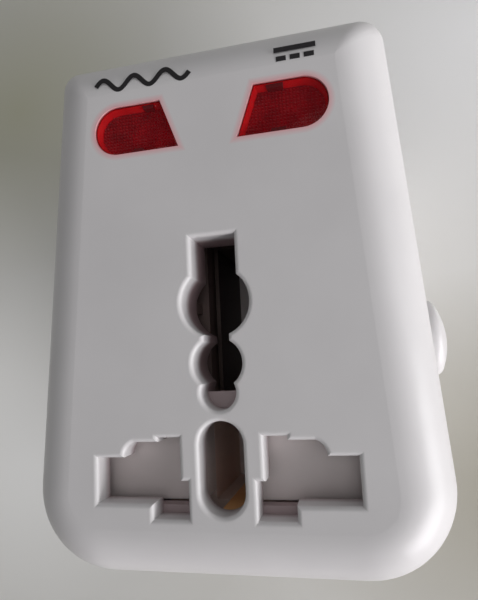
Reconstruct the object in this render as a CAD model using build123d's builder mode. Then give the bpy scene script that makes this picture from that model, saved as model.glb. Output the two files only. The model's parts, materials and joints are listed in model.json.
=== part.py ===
from build123d import *
from math import asin, atan2, cos, degrees, pi, radians, sin, sqrt
import os

os.makedirs("parts", exist_ok=True)

# A travel adapter lying on its back: X to the right, Y towards the lamps, Z out of the socket face.
# The origin is the middle of the back face. All sizes are in millimetres.

# Housing, a block that is wider at its lower end
BODY_LENGTH = 64.0
BODY_DEPTH = 55.0
TOP_WIDTH = 42.0
BOTTOM_WIDTH = 50.4
TOP_CORNER_R = 2.7
BOTTOM_CORNER_R = 10.0
FACE_EDGE_R = 6.2
BACK_EDGE_R = 2.0
FACE_WALL = 3.0
SIDE_WALL = 2.5
BACK_WALL = 2.5
SEAM_DEPTH = 18.0
SEAM_EASE = 0.15
LIP_DEPTH = 1.5
LIP_INSET = 1.3
RIM_R = 0.3
SLOT_RIM_R = 0.5

# Clearances
FIT = 0.08
GAP = 0.3
PRESS = 0.02

# Socket face: distances above the line through the two lower slots
LINE_IN = 11.5
SLOT_OUTER_X = 14.6
SLOT_HALF_HEIGHT = 2.48
SLOT_INNER_X = 4.75
SLOT_TOP = 4.6
SLOT_SHELF_X = 7.3
SLOT_SHELF = 4.15
SLOT_ARC_IN_X = 10.2
SLOT_ARC_OUT_X = 11.4
SLOT_ARC_R = 1.8
SLOT_STEP = -0.09
SLOT_LOW_IN_X = 3.86
SLOT_LOW_OUT_X = 7.92
SLOT_LOW = -4.14
EARTH_WIDTH = 5.18
EARTH_TOP = 27.07
EARTH_BIG_Y = 19.46
EARTH_BIG_R = 3.95
EARTH_NECK = 2.9
EARTH_MID_Y = 12.57
EARTH_MID_R = 2.82
EARTH_SMALL_Y = 9.37
EARTH_SMALL_R = 1.97
LEDGE_HIGH = 9.34
LEDGE_SIDE = 0.6
LEDGE_T = 1.6
SLOT_LEDGE_HIGH = -3.3
OVAL_WIDTH = 5.0
OVAL_TOP = 6.27
OVAL_LOW = -3.79
RIM_FIELD = 2.4

# Lamp windows and what lies under them
LAMP_IN = 14.24
LAMP_HEIGHT = 6.14
LAMP_TIP_X = 14.29
LAMP_INNER_TOP_X = 5.74
LAMP_INNER_LOW_X = 3.55
LENS_FLANGE = 0.9
LENS_FLANGE_T = 1.0
LENS_SINK = 0.1
LENS_NOTCH = 1.6
LENS_NOTCH_DEEP = 0.45
LED_X = 9.2
LED_R = 1.5
LED_BODY = 1.1
LAMP_BOARD_T = 1.0
LAMP_BOARD_DEPTH = 7.7
LAMP_BOARD_HALF = 12.4
LAMP_BOARD_PAST = 0.26
LAMP_BOARD_HEIGHT = 6.2
LAMP_POST_R = 1.5

# Case screws, two at each end
SCREW_LOW_X = 18.6
SCREW_LOW_Y = -5.2
SCREW_TOP_X = 15.6
SCREW_TOP_IN = 5.1
SCREW_R = 1.25
SCREW_HEAD_R = 2.4
SCREW_HEAD_T = 1.8
SCREW_BITE = 8.0
SCREW_SEAT_T = 0.4
SCREW_HOLE_R = 1.5
COUNTERBORE_R = 2.7
POST_R = 3.6
BOSS_R = 2.8
DRIVE_WIDTH = 0.7
DRIVE_DEPTH = 1.0

# Partition between the plug sets and the socket
PARTITION_DEPTH = 24.6
PARTITION_T = 1.5

# Contact carrier
CARRIER_DEPTH = 9.5
CARRIER_HALF = 16.4
CARRIER_SIDE_LOW = -4.2
CARRIER_CHAMFER = 1.5
CARRIER_LOW = -6.0
CARRIER_LOW_HALF = 9.4
CARRIER_SPLIT = 5.8
CARRIER_UPPER_HALF = 8.0
CARRIER_UPPER_TOP = 30.0
SHELF_T = 2.0
SHELF_TOP = 13.6
RAIL_WIDTH = 0.9
RAIL_DEPTH = 5.6
POCKET_IN_X = 4.5
POCKET_OUT_X = 15.0
POCKET_LOW = -4.4
POCKET_SIDE_LOW = -3.2
POCKET_STEP_X = 8.6
POCKET_TOP = 4.9
EARTH_POCKET_HALF = 3.3
EARTH_POCKET_TOP = 28.8
COLUMN_X = 6.6
COLUMN_RISE = 26.4

# Safety shutters
SHUTTER_IN_X = 3.3
SHUTTER_OUT_X = 15.2
SHUTTER_WING_X = 16.0
SHUTTER_LOW = -3.2
SHUTTER_HIGH = 5.4
SHUTTER_AIR = 0.2
SHUTTER_SLOPE = 1.8
SHUTTER_EDGE_R = 0.4

# Shutter return springs
SPRING_X = 6.0
SPRING_R = 1.4
SPRING_WIRE = 0.4
SPRING_TURNS = 9
SPRING_STEP_COUNT = 4
SPRING_SEAT_Y = 19.0
SPRING_SEAT_T = 1.4
SPRING_SEAT_WIDTH = 3.6
SPRING_PEG_R = 0.8
SPRING_PEG = 1.8

# Brass strip and socket contacts
BRASS_T = 0.5
JAW_DEPTH = 10.4
JAW_MOUTH = 2.6
JAW_GRIP = 1.95
JAW_SEAT = 2.1
JAW_BEND = 2.2
JAW_START_X = 8.3
JAW_END_X = 14.6
BLADE_JAW_MOUTH = 1.6
BLADE_JAW_GRIP = 0.85
BLADE_JAW_SEAT = 1.0
BLADE_JAW_HALF = 3.2
TAIL_X = 9.5
TAIL_WIDTH = 2.5
TAIL_RISE = 2.1
TAIL_HEIGHT = 2.0
EARTH_LEAF_X = 2.3
EARTH_LEAF_TOP = 28.0
EARTH_LEAF_START = 8.4
OVAL_LEAF_X = 2.1
OVAL_LEAF_LOW = -4.1
OVAL_LEAF_END_X = -1.0

# Bus strips under the partition, with a finger beside each plug set
BUS_WIDTH = 3.0
FINGER_END_Z = 8.0
FINGER_WIDTH = 2.5
FINGER_AIR = 0.36
RISER_LENGTH = 6.1

# Plug sets: each slides out of the back
CARRIAGE_STOP_Z = BACK_WALL + GAP
TIP_Z = 0.4
NOTCH_WIDTH = 3.8
NOTCH_BITE = 0.3
CORNER_R = 1.0
BUTTON_DEPTH = 24.0
BUTTON_R = 5.5
BUTTON_RIM = 2.6
BUTTON_EDGE_R = 1.2
BUTTON_PROUD = 4.4
STEM_R = 2.4
STEM_AIR = 0.4
SLIDE_SLOT_DEEP = 7.5
PEG_R = 1.3
PEG_LENGTH = 2.6
ARM_HALF = 3.0
ARM_T = 3.3
ARM_AIR = 0.35
ARM_NOTCH_AIR = 0.5

# European set
EU_Y = 14.6
EU_HEADROOM = 2.8
EU_PIN_X = 9.5
EU_PIN_R = 2.0
EU_SLEEVE_R = 1.9
EU_CORE_R = 1.5
EU_BARE = 9.0
EU_T = 5.0
EU_HALF_HEIGHT = 3.4
EU_LEFT_X = 13.0
EU_GUIDE_X = 4.2
EU_GUIDE_R = 1.5
EU_HOLE_AIR = 0.3

# British set
UK_Y = 3.5
UK_HEADROOM = 0.3
UK_PIN_X = 11.11
UK_PIN_WIDTH = 6.35
UK_PIN_HEIGHT = 3.97
UK_PIN_LENGTH = 17.7
UK_BARE = 8.2
UK_SLEEVE_T = 0.45
UK_EARTH_WIDTH = 3.97
UK_EARTH_HEIGHT = 7.92
UK_EARTH_RISE = 22.23
UK_CHAMFER = 0.9
UK_T = 3.8
UK_HALF_HEIGHT = 3.3
UK_RIGHT_X = 15.3
UK_SPINE_OUT_X = 19.6
UK_SPINE_WIDTH = 4.2
UK_ARM_LOW = 21.0
UK_ARM_HIGH = 30.4
UK_ARM_END_X = 3.7
UK_GUIDE_R = 1.2
UK_SPINE_GUIDE_Y = 24.0
UK_HOLE_AIR = 0.3

# American and Australian set
US_Y = 38.0
US_HEADROOM = 4.8
US_BLADE_X = 6.35
US_BLADE_WIDTH = 6.35
US_BLADE_T = 1.5
US_BLADE_NOSE = 1.2
US_BLADE_EASE = 0.35
US_TURN = 30.0
US_T = 5.0
US_HALF_WIDTH = 16.0
US_LOW = 31.8
US_HIGH = 43.4
US_CORNER_R = 3.0
TURRET_R = 5.2
TURRET_FLANGE_R = 5.9
TURRET_FLANGE_T = 1.2
US_GUIDE_X = 13.9
US_GUIDE_R = 1.3
US_COVER_T = 1.2
US_COVER_HALF = 12.2
US_COVER_WINDOW_R = 3.6
US_LEG_R = 1.5
US_LEG_RISE = 4.6
US_WIPER_WIDTH = 3.4
US_WIPER_LOW = 33.0
US_WIPER_FOOT = 3.2
US_HOLE_AIR = 0.4

# Fuse beside the contact carrier
FUSE_X = 11.9
FUSE_LOW = 8.6
FUSE_LENGTH = 20.0
FUSE_R = 2.5
FUSE_TUBE_R = 2.3
FUSE_CAP = 5.0
CLIP_WIDTH = 3.6
CLIP_OPEN = 1.2
CLIP_CUT = 8.0

# USB charger
USB_DEPTH = 11.0
USB_INNER_WIDTH = 12.5
USB_INNER_HEIGHT = 5.1
USB_SHEET = 0.35
USB_LENGTH = 14.0
USB_SINK = 0.3
USB_AIR = 0.2
TONGUE_WIDTH = 11.1
TONGUE_T = 1.84
TONGUE_LENGTH = 8.65
TONGUE_RISE = 0.75
TONGUE_BASE = 3.6
USB_CONTACT_WIDTH = 1.0
USB_CONTACT_T = 0.15
USB_CONTACT_PITCH = 2.3
USB_CONTACTS = 4
BOARD_T = 1.2
BOARD_HALF = 12.0
BOARD_LENGTH = 18.6
BOARD_IN = 2.9
BOARD_POST_X = 10.0
BOARD_POST_R = 1.6
BOARD_POST_IN = 2.0
CORE_WIDTH = 10.0
CORE_DEPTH = 5.0
CORE_HEIGHT = 7.6
CORE_YOKE = 1.6
CORE_LEG = 2.8
CORE_WINDOW = 2.2
COIL_DEPTH = 8.8
COIL_AIR = 0.1
CORE_IN = 13.2
CAPACITOR_R = 2.5
CAPACITOR_LENGTH = 9.0
CAPACITOR_IN = 4.6
CHIP_WIDTH = 4.9
CHIP_HEIGHT = 3.9
CHIP_T = 1.5
CHIP_X = 8.5
CHIP_IN = 8.6

# Heights above the back face
FACE_Z = BODY_DEPTH
CEILING_Z = FACE_Z - FACE_WALL
SEAM_Z = FACE_Z - SEAM_DEPTH
PARTITION_Z = FACE_Z - PARTITION_DEPTH
PARTITION_TOP = PARTITION_Z + PARTITION_T
SCREW_SEAT_Z = PARTITION_Z - SCREW_SEAT_T
CARRIER_TOP = FACE_Z - CARRIER_DEPTH
RAIL_TOP = FACE_Z - RAIL_DEPTH
JAW_TOP = FACE_Z - JAW_DEPTH
TAIL_LOW = PARTITION_TOP + TAIL_RISE
RISER_TOP = PARTITION_TOP + RISER_LENGTH
BUTTON_Z = FACE_Z - BUTTON_DEPTH
BUS_Z = PARTITION_Z - BRASS_T
LAMP_BOARD_Z = FACE_Z - LAMP_BOARD_DEPTH
USB_Z = FACE_Z - USB_DEPTH
BOARD_Z = USB_Z - USB_INNER_HEIGHT / 2 - USB_SHEET - BOARD_T

# How far each plug set slides out
EU_TRAVEL = BUS_Z - EU_HEADROOM - EU_T - CARRIAGE_STOP_Z
UK_TRAVEL = BUS_Z - UK_HEADROOM - UK_T - CARRIAGE_STOP_Z
US_TRAVEL = BUS_Z - US_HEADROOM - US_T - CARRIAGE_STOP_Z

# Places along the housing, the upper ones above the line through the lower slots
WALL_TILT = degrees(atan2((BOTTOM_WIDTH - TOP_WIDTH) / 2, BODY_LENGTH))
LINE_Y = -BODY_LENGTH / 2 + LINE_IN
LAMP_LOW = BODY_LENGTH - LINE_IN - LAMP_IN
LAMP_BOARD_LOW = LAMP_LOW - LAMP_BOARD_PAST
LAMP_LED_Y = LINE_Y + LAMP_LOW + LAMP_HEIGHT / 2
BOARD_HIGH = BODY_LENGTH - LINE_IN - BOARD_IN
BOARD_LOW = BOARD_HIGH - BOARD_LENGTH
CORE_Y = BOARD_HIGH - CORE_IN
CAPACITOR_Y = BOARD_HIGH - CAPACITOR_IN
CHIP_Y = BOARD_HIGH - CHIP_IN


def half_width(y):
    """Half of the housing's width at a place along it."""
    share = (y + BODY_LENGTH / 2) / BODY_LENGTH
    return (BOTTOM_WIDTH + share * (TOP_WIDTH - BOTTOM_WIDTH)) / 2


def housing_block(low, high, inset):
    """The housing's plan between two heights, drawn in by inset."""
    with BuildPart() as block:
        with BuildSketch(Plane.XY.offset(low)) as plan:
            with BuildLine():
                Polyline(
                    (-BOTTOM_WIDTH / 2, -BODY_LENGTH / 2),
                    (BOTTOM_WIDTH / 2, -BODY_LENGTH / 2),
                    (TOP_WIDTH / 2, BODY_LENGTH / 2),
                    (-TOP_WIDTH / 2, BODY_LENGTH / 2),
                    close=True,
                )
            make_face()
            fillet(plan.vertices().group_by(Axis.Y)[0], BOTTOM_CORNER_R)
            if inset > 0:
                offset(amount=-inset, kind=Kind.INTERSECTION, mode=Mode.REPLACE)
        extrude(amount=high - low)
    return block.part


def box_between(low, high):
    """A box from its lowest corner to its highest one, added to the part in use."""
    middle = tuple((a + b) / 2 for a, b in zip(low, high))
    with Locations(middle):
        Box(*[b - a for a, b in zip(low, high)])


def lower_slot():
    """Outline of the right lower slot, which the left one mirrors."""
    corners = [
        (SLOT_ARC_IN_X, SLOT_SHELF),
        (SLOT_SHELF_X, SLOT_SHELF),
        (SLOT_SHELF_X, SLOT_TOP),
        (SLOT_INNER_X, SLOT_TOP),
        (SLOT_INNER_X, SLOT_STEP),
        (SLOT_LOW_IN_X, SLOT_STEP),
        (SLOT_LOW_IN_X, SLOT_LOW),
        (SLOT_LOW_OUT_X, SLOT_LOW),
        (SLOT_LOW_OUT_X, -SLOT_HALF_HEIGHT),
        (SLOT_OUTER_X, -SLOT_HALF_HEIGHT),
        (SLOT_OUTER_X, SLOT_HALF_HEIGHT),
        (SLOT_ARC_OUT_X, SLOT_HALF_HEIGHT),
    ]
    with BuildSketch() as slot:
        with BuildLine():
            edge = Polyline(*[(x, LINE_Y + y) for x, y in corners])
            RadiusArc(edge @ 1, edge @ 0, -SLOT_ARC_R)
        make_face()
    return slot.sketch


def earth_slot():
    """Outline of the earth slot: a rectangle over three circles."""
    with BuildSketch() as slot:
        with Locations((0, LINE_Y + (EARTH_TOP + EARTH_BIG_Y) / 2)):
            Rectangle(EARTH_WIDTH, EARTH_TOP - EARTH_BIG_Y)
        with Locations((0, LINE_Y + (EARTH_BIG_Y + EARTH_MID_Y) / 2)):
            Rectangle(EARTH_NECK, EARTH_BIG_Y - EARTH_MID_Y)
        for rise, radius in [
            (EARTH_BIG_Y, EARTH_BIG_R),
            (EARTH_MID_Y, EARTH_MID_R),
            (EARTH_SMALL_Y, EARTH_SMALL_R),
        ]:
            with Locations((0, LINE_Y + rise)):
                Circle(radius)
    return slot.sketch


def oval_slot():
    """Outline of the upright oval between the lower slots."""
    with BuildSketch() as slot:
        with Locations((0, LINE_Y + (OVAL_TOP + OVAL_LOW) / 2)):
            SlotOverall(OVAL_TOP - OVAL_LOW, OVAL_WIDTH, rotation=90)
    return slot.sketch


def lamp_window(side, grow):
    """Outline of one lamp window, grown outwards by a margin."""
    radius = LAMP_HEIGHT / 2
    low = LINE_Y + LAMP_LOW
    high = low + LAMP_HEIGHT
    round_x = LAMP_TIP_X - radius
    with BuildSketch() as window:
        with BuildLine():
            Line((side * LAMP_INNER_LOW_X, low), (side * round_x, low))
            ThreePointArc(
                (side * round_x, low), (side * LAMP_TIP_X, low + radius), (side * round_x, high)
            )
            Polyline(
                (side * round_x, high),
                (side * LAMP_INNER_TOP_X, high),
                (side * LAMP_INNER_LOW_X, low),
            )
        make_face()
        if grow:
            offset(amount=grow, kind=Kind.INTERSECTION, mode=Mode.REPLACE)
    return window.sketch


SCREW_ENDS = [(SCREW_LOW_X, LINE_Y + SCREW_LOW_Y), (SCREW_TOP_X, BODY_LENGTH / 2 - SCREW_TOP_IN)]
SCREW_PLACES = [(side * x, y) for x, y in SCREW_ENDS for side in (1, -1)]
CARRIER_COLUMNS = [(side * COLUMN_X, LINE_Y + COLUMN_RISE) for side in (1, -1)]
EU_GUIDES = [(side * EU_GUIDE_X, LINE_Y + EU_Y) for side in (1, -1)]
UK_GUIDES = [(0, LINE_Y + UK_Y), (-UK_SPINE_OUT_X + UK_SPINE_WIDTH / 2, LINE_Y + UK_SPINE_GUIDE_Y)]
US_GUIDES = [(side * US_GUIDE_X, LINE_Y + US_Y) for side in (1, -1)]
SLIDERS = [(1, EU_Y, EU_TRAVEL), (-1, EU_Y, UK_TRAVEL), (-1, US_Y, US_TRAVEL)]

# Housing outside, rounded, and the space inside it
square_housing = housing_block(0, BODY_DEPTH, 0)
square_space = housing_block(BACK_WALL, CEILING_Z, SIDE_WALL)
lip_outside = housing_block(SEAM_Z - LIP_DEPTH, SEAM_Z, LIP_INSET)
lip_inside = housing_block(SEAM_Z - LIP_DEPTH, SEAM_Z, SIDE_WALL)
lip_room = housing_block(SEAM_Z - LIP_DEPTH - FIT, SEAM_Z, LIP_INSET - FIT)
lip_core = housing_block(SEAM_Z - LIP_DEPTH - FIT, SEAM_Z, SIDE_WALL + FIT)
partition_blank = housing_block(PARTITION_Z, PARTITION_TOP, SIDE_WALL + GAP)

with BuildPart() as outside:
    add(square_housing)
    fillet(outside.faces().sort_by(Axis.Z)[-1].edges(), FACE_EDGE_R)
    corners = outside.edges().filter_by(
        lambda e: e.center().Y > BODY_LENGTH / 2 - FACE_EDGE_R
        and abs(e.center().X) > TOP_WIDTH / 2 - FACE_EDGE_R
        and e.bounding_box().size.Z > 1
    )
    fillet(corners, TOP_CORNER_R)
    fillet(outside.faces().sort_by(Axis.Z)[0].edges(), BACK_EDGE_R)

with BuildPart() as space:
    add(square_space)
    fillet(space.faces().sort_by(Axis.Z)[-1].edges(), FACE_EDGE_R - SIDE_WALL)


def opening_cutter(outline):
    """What is cut out of the face for one opening, flared at the face by its rounded rim."""
    deep = FACE_WALL + GAP
    with BuildPart() as plate:
        with BuildSketch(Plane.XY.offset(FACE_Z - deep)) as field:
            add(outline)
            offset(amount=RIM_FIELD, kind=Kind.INTERSECTION, mode=Mode.REPLACE)
        block = extrude(amount=deep)
        with BuildSketch(Plane.XY.offset(FACE_Z - deep)):
            add(outline)
        extrude(amount=deep, mode=Mode.SUBTRACT)
        rim = plate.faces().sort_by(Axis.Z)[-1].inner_wires()[0]
        fillet(rim.edges(), SLOT_RIM_R)
    with BuildPart() as cutter:
        add(block)
        add(plate.part, mode=Mode.SUBTRACT)
    return cutter.part


right_cutter = opening_cutter(lower_slot())
opening_cutters = [
    right_cutter,
    mirror(right_cutter, about=Plane.YZ),
    opening_cutter(earth_slot()),
    opening_cutter(oval_slot()),
]

# Front shell, with the socket face
with BuildPart() as front_shell:
    add(outside.part)
    split(bisect_by=Plane.XY.offset(SEAM_Z), keep=Keep.TOP)
    chamfer(front_shell.faces().sort_by(Axis.Z)[0].edges(), SEAM_EASE)
    add(space.part, mode=Mode.SUBTRACT)
    with BuildSketch(Plane.XY.offset(SEAM_Z)):
        with Locations(*SCREW_PLACES):
            Circle(BOSS_R)
    extrude(until=Until.NEXT)
    with BuildSketch(Plane.XY.offset(CARRIER_TOP)):
        with Locations(*CARRIER_COLUMNS):
            Circle(LAMP_POST_R)
    extrude(amount=CEILING_Z - CARRIER_TOP)
    with BuildSketch(Plane.XY.offset(LAMP_BOARD_Z + LAMP_BOARD_T)):
        with Locations((0, LAMP_LED_Y)):
            Circle(LAMP_POST_R)
    extrude(amount=CEILING_Z - LAMP_BOARD_Z - LAMP_BOARD_T)
    with BuildSketch(Plane.XY.offset(SEAM_Z)):
        with Locations(*SCREW_PLACES):
            Circle(SCREW_R + PRESS)
    extrude(amount=SCREW_BITE, mode=Mode.SUBTRACT)
    add(opening_cutters, mode=Mode.SUBTRACT)
    with BuildSketch(Plane.XY.offset(CEILING_Z - LEDGE_T)):
        with Locations((0, LINE_Y + EARTH_SMALL_Y)):
            Circle(EARTH_SMALL_R + LEDGE_SIDE)
        with Locations((0, LINE_Y + LEDGE_HIGH)):
            Rectangle(
                2 * EARTH_BIG_R, EARTH_BIG_R, align=(Align.CENTER, Align.MIN), mode=Mode.SUBTRACT
            )
        for side in (1, -1):
            with Locations(
                (side * (SLOT_LOW_IN_X + SLOT_LOW_OUT_X) / 2, LINE_Y + SLOT_LEDGE_HIGH)
            ):
                Rectangle(
                    SLOT_LOW_OUT_X - SLOT_LOW_IN_X + 2 * LEDGE_SIDE,
                    SLOT_LEDGE_HIGH - SLOT_LOW + LEDGE_SIDE,
                    align=(Align.CENTER, Align.MAX),
                )
    extrude(amount=LEDGE_T)
    with BuildSketch(Plane.XY.offset(CEILING_Z)):
        add([lamp_window(1, 0), lamp_window(-1, 0)])
    extrude(amount=FACE_WALL, mode=Mode.SUBTRACT)
    with BuildSketch(Plane.XZ.offset(-BODY_LENGTH / 2)):
        with Locations((0, USB_Z)):
            Rectangle(
                USB_INNER_WIDTH + 2 * (USB_SHEET + USB_AIR),
                USB_INNER_HEIGHT + 2 * (USB_SHEET + USB_AIR),
            )
    extrude(amount=2 * SIDE_WALL, mode=Mode.SUBTRACT)
    add(lip_outside)
    add(lip_inside, mode=Mode.SUBTRACT)
front_shell.part.label = "front_shell"
export_step(front_shell.part, "parts/front_shell.step")

# Rear shell, with the openings for the plug sets
with BuildPart() as lip_groove:
    add(lip_room)
    add(lip_core, mode=Mode.SUBTRACT)

with BuildPart() as rear_shell:
    add(outside.part)
    split(bisect_by=Plane.XY.offset(SEAM_Z), keep=Keep.BOTTOM)
    chamfer(rear_shell.faces().sort_by(Axis.Z)[-1].edges(), SEAM_EASE)
    add(space.part, mode=Mode.SUBTRACT)
    with BuildSketch(Plane.XY.offset(BACK_WALL / 2)):
        with Locations(*SCREW_PLACES):
            Circle(POST_R)
    extrude(amount=PARTITION_Z - BACK_WALL / 2)
    with BuildSketch(Plane.XY.offset(PARTITION_Z)):
        with Locations(*SCREW_PLACES):
            Circle(BOSS_R)
    extrude(amount=SEAM_Z - PARTITION_Z)
    with BuildSketch(Plane.XY.offset(BACK_WALL / 2)):
        with Locations(*EU_GUIDES):
            Circle(EU_GUIDE_R)
        with Locations(*UK_GUIDES):
            Circle(UK_GUIDE_R)
        with Locations(*US_GUIDES):
            Circle(US_GUIDE_R)
    extrude(amount=PARTITION_Z - BACK_WALL / 2)
    add(lip_groove.part, mode=Mode.SUBTRACT)
    with BuildSketch(Plane.XY):
        with Locations(*SCREW_PLACES):
            Circle(COUNTERBORE_R)
    extrude(amount=SCREW_SEAT_Z, mode=Mode.SUBTRACT)
    with BuildSketch(Plane.XY.offset(SCREW_SEAT_Z)):
        with Locations(*SCREW_PLACES):
            Circle(SCREW_HOLE_R)
    extrude(amount=SEAM_Z - SCREW_SEAT_Z, mode=Mode.SUBTRACT)
    with BuildSketch(Plane.XY):
        for side in (1, -1):
            with Locations((side * EU_PIN_X, LINE_Y + EU_Y)):
                Circle(EU_PIN_R + EU_HOLE_AIR)
            with Locations((side * UK_PIN_X, LINE_Y + UK_Y)):
                Rectangle(UK_PIN_WIDTH + 2 * UK_HOLE_AIR, UK_PIN_HEIGHT + 2 * UK_HOLE_AIR)
            with Locations((side * US_BLADE_X, LINE_Y + US_Y)):
                for share in (0, 1 / 2, 1):
                    Rectangle(
                        US_BLADE_T + 2 * US_HOLE_AIR,
                        US_BLADE_WIDTH + 2 * US_HOLE_AIR,
                        rotation=side * share * US_TURN,
                    )
        with Locations((0, LINE_Y + UK_Y + UK_EARTH_RISE)):
            Rectangle(UK_EARTH_WIDTH + 2 * UK_HOLE_AIR, UK_EARTH_HEIGHT + 2 * UK_HOLE_AIR)
    extrude(amount=BACK_WALL, mode=Mode.SUBTRACT)
    for side, rise, travel in SLIDERS:
        wall_x = half_width(LINE_Y + rise) - 2 * SIDE_WALL
        with BuildSketch(Plane.YZ.offset(side * wall_x)):
            with Locations((LINE_Y + rise, BUTTON_Z - travel / 2)):
                SlotOverall(
                    travel + 2 * (STEM_R + STEM_AIR), 2 * (STEM_R + STEM_AIR), rotation=90
                )
        extrude(amount=side * SLIDE_SLOT_DEEP, mode=Mode.SUBTRACT)
rear_shell.part.label = "rear_shell"
export_step(rear_shell.part, "parts/rear_shell.step")

# Case screws, driven in from the back
with BuildPart() as case_screws:
    with BuildSketch(Plane.XY.offset(SCREW_SEAT_Z - SCREW_HEAD_T)):
        with Locations(*SCREW_PLACES):
            Circle(SCREW_HEAD_R)
    extrude(amount=SCREW_HEAD_T)
    with BuildSketch(Plane.XY.offset(SCREW_SEAT_Z)):
        with Locations(*SCREW_PLACES):
            Circle(SCREW_R)
    extrude(amount=SEAM_Z - SCREW_SEAT_Z + SCREW_BITE - GAP)
    with BuildSketch(Plane.XY.offset(SCREW_SEAT_Z - SCREW_HEAD_T)):
        with Locations(*SCREW_PLACES):
            Rectangle(2 * SCREW_R, DRIVE_WIDTH)
            Rectangle(DRIVE_WIDTH, 2 * SCREW_R)
    extrude(amount=DRIVE_DEPTH, mode=Mode.SUBTRACT)
case_screws.part.label = "case_screws"
export_step(case_screws.part, "parts/case_screws.step")


def arm_face_x(rise):
    """How far out a button's arm reaches inside the side wall."""
    return half_width(LINE_Y + rise + ARM_HALF) - SIDE_WALL - ARM_AIR


# Partition, which lies on the posts and carries the socket's inside
with BuildPart() as partition_plate:
    add(partition_blank)
    with BuildSketch(Plane.XY.offset(PARTITION_Z)):
        with Locations(*SCREW_PLACES):
            Rectangle(2 * (BOSS_R + GAP), 2 * (BOSS_R + GAP))
        for side, rise, travel in SLIDERS:
            notch_x = arm_face_x(rise) - ARM_T - ARM_NOTCH_AIR
            with Locations((side * (notch_x + SIDE_WALL + ARM_T), LINE_Y + rise)):
                Rectangle(2 * (SIDE_WALL + ARM_T), 2 * (ARM_HALF + ARM_NOTCH_AIR))
        for side in (1, -1):
            with Locations((side * TAIL_X, LINE_Y + UK_Y + UK_PIN_HEIGHT / 2 + FINGER_AIR)):
                Rectangle(FINGER_WIDTH + 2 * GAP, 2 * (BRASS_T + GAP))
        with Locations((EARTH_LEAF_X + BRASS_T, LINE_Y + UK_Y + UK_EARTH_RISE)):
            Rectangle(BRASS_T + 2 * GAP, FINGER_WIDTH + 2 * GAP)
    extrude(amount=PARTITION_T, mode=Mode.SUBTRACT)
    with BuildSketch(Plane.XY.offset(PARTITION_TOP)):
        for rise in (BOARD_LOW + BOARD_POST_IN, BOARD_HIGH - BOARD_POST_IN):
            with Locations((BOARD_POST_X, LINE_Y + rise), (-BOARD_POST_X, LINE_Y + rise)):
                Circle(BOARD_POST_R)
    extrude(amount=BOARD_Z - PARTITION_TOP)
partition_plate.part.label = "partition_plate"
export_step(partition_plate.part, "parts/partition_plate.step")


def lamp_lens(side):
    """A lens that fills its window, with a flange under the face and two moulding notches."""
    notch_x = side * (LAMP_INNER_TOP_X + LENS_NOTCH)
    with BuildPart() as lens:
        with BuildSketch(Plane.XY.offset(CEILING_Z)):
            add(lamp_window(side, -FIT))
        extrude(amount=FACE_WALL - LENS_SINK)
        fillet(lens.faces().sort_by(Axis.Z)[-1].edges(), LENS_SINK)
        with BuildSketch(Plane.XY.offset(CEILING_Z - LENS_FLANGE_T)):
            add(lamp_window(side, LENS_FLANGE))
        extrude(amount=LENS_FLANGE_T)
        with BuildSketch(Plane.XY.offset(CEILING_Z - LENS_FLANGE_T)):
            for edge_y in (-LAMP_HEIGHT / 2 + FIT, LAMP_HEIGHT / 2 - FIT):
                with Locations((notch_x, LAMP_LED_Y + edge_y)):
                    Rectangle(LENS_NOTCH, 2 * LENS_NOTCH_DEEP)
        extrude(amount=LENS_FLANGE_T + FACE_WALL / 2, mode=Mode.SUBTRACT)
    return lens.part


with BuildPart() as ac_lamp_lens:
    add(lamp_lens(-1))
ac_lamp_lens.part.label = "ac_lamp_lens"
export_step(ac_lamp_lens.part, "parts/ac_lamp_lens.step")

with BuildPart() as usb_lamp_lens:
    add(lamp_lens(1))
usb_lamp_lens.part.label = "usb_lamp_lens"
export_step(usb_lamp_lens.part, "parts/usb_lamp_lens.step")

# Lamp board with an LED under each lens
LAMP_BOARD_TOP = LAMP_BOARD_Z + LAMP_BOARD_T
with BuildPart() as lamp_board:
    box_between(
        (-LAMP_BOARD_HALF, LINE_Y + LAMP_BOARD_LOW, LAMP_BOARD_Z),
        (LAMP_BOARD_HALF, LINE_Y + LAMP_BOARD_LOW + LAMP_BOARD_HEIGHT, LAMP_BOARD_TOP),
    )
lamp_board.part.label = "lamp_board"
export_step(lamp_board.part, "parts/lamp_board.step")

with BuildPart() as ac_lamp_led:
    with BuildSketch(Plane.XY.offset(LAMP_BOARD_TOP)):
        with Locations((-LED_X, LAMP_LED_Y)):
            Circle(LED_R)
    extrude(amount=LED_BODY)
    with Locations((-LED_X, LAMP_LED_Y, LAMP_BOARD_TOP + LED_BODY)):
        Sphere(LED_R, arc_size1=0, align=(Align.CENTER, Align.CENTER, Align.MIN))
ac_lamp_led.part.label = "ac_lamp_led"
export_step(ac_lamp_led.part, "parts/ac_lamp_led.step")

with BuildPart() as usb_lamp_led:
    add(mirror(ac_lamp_led.part, about=Plane.YZ))
usb_lamp_led.part.label = "usb_lamp_led"
export_step(usb_lamp_led.part, "parts/usb_lamp_led.step")

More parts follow.
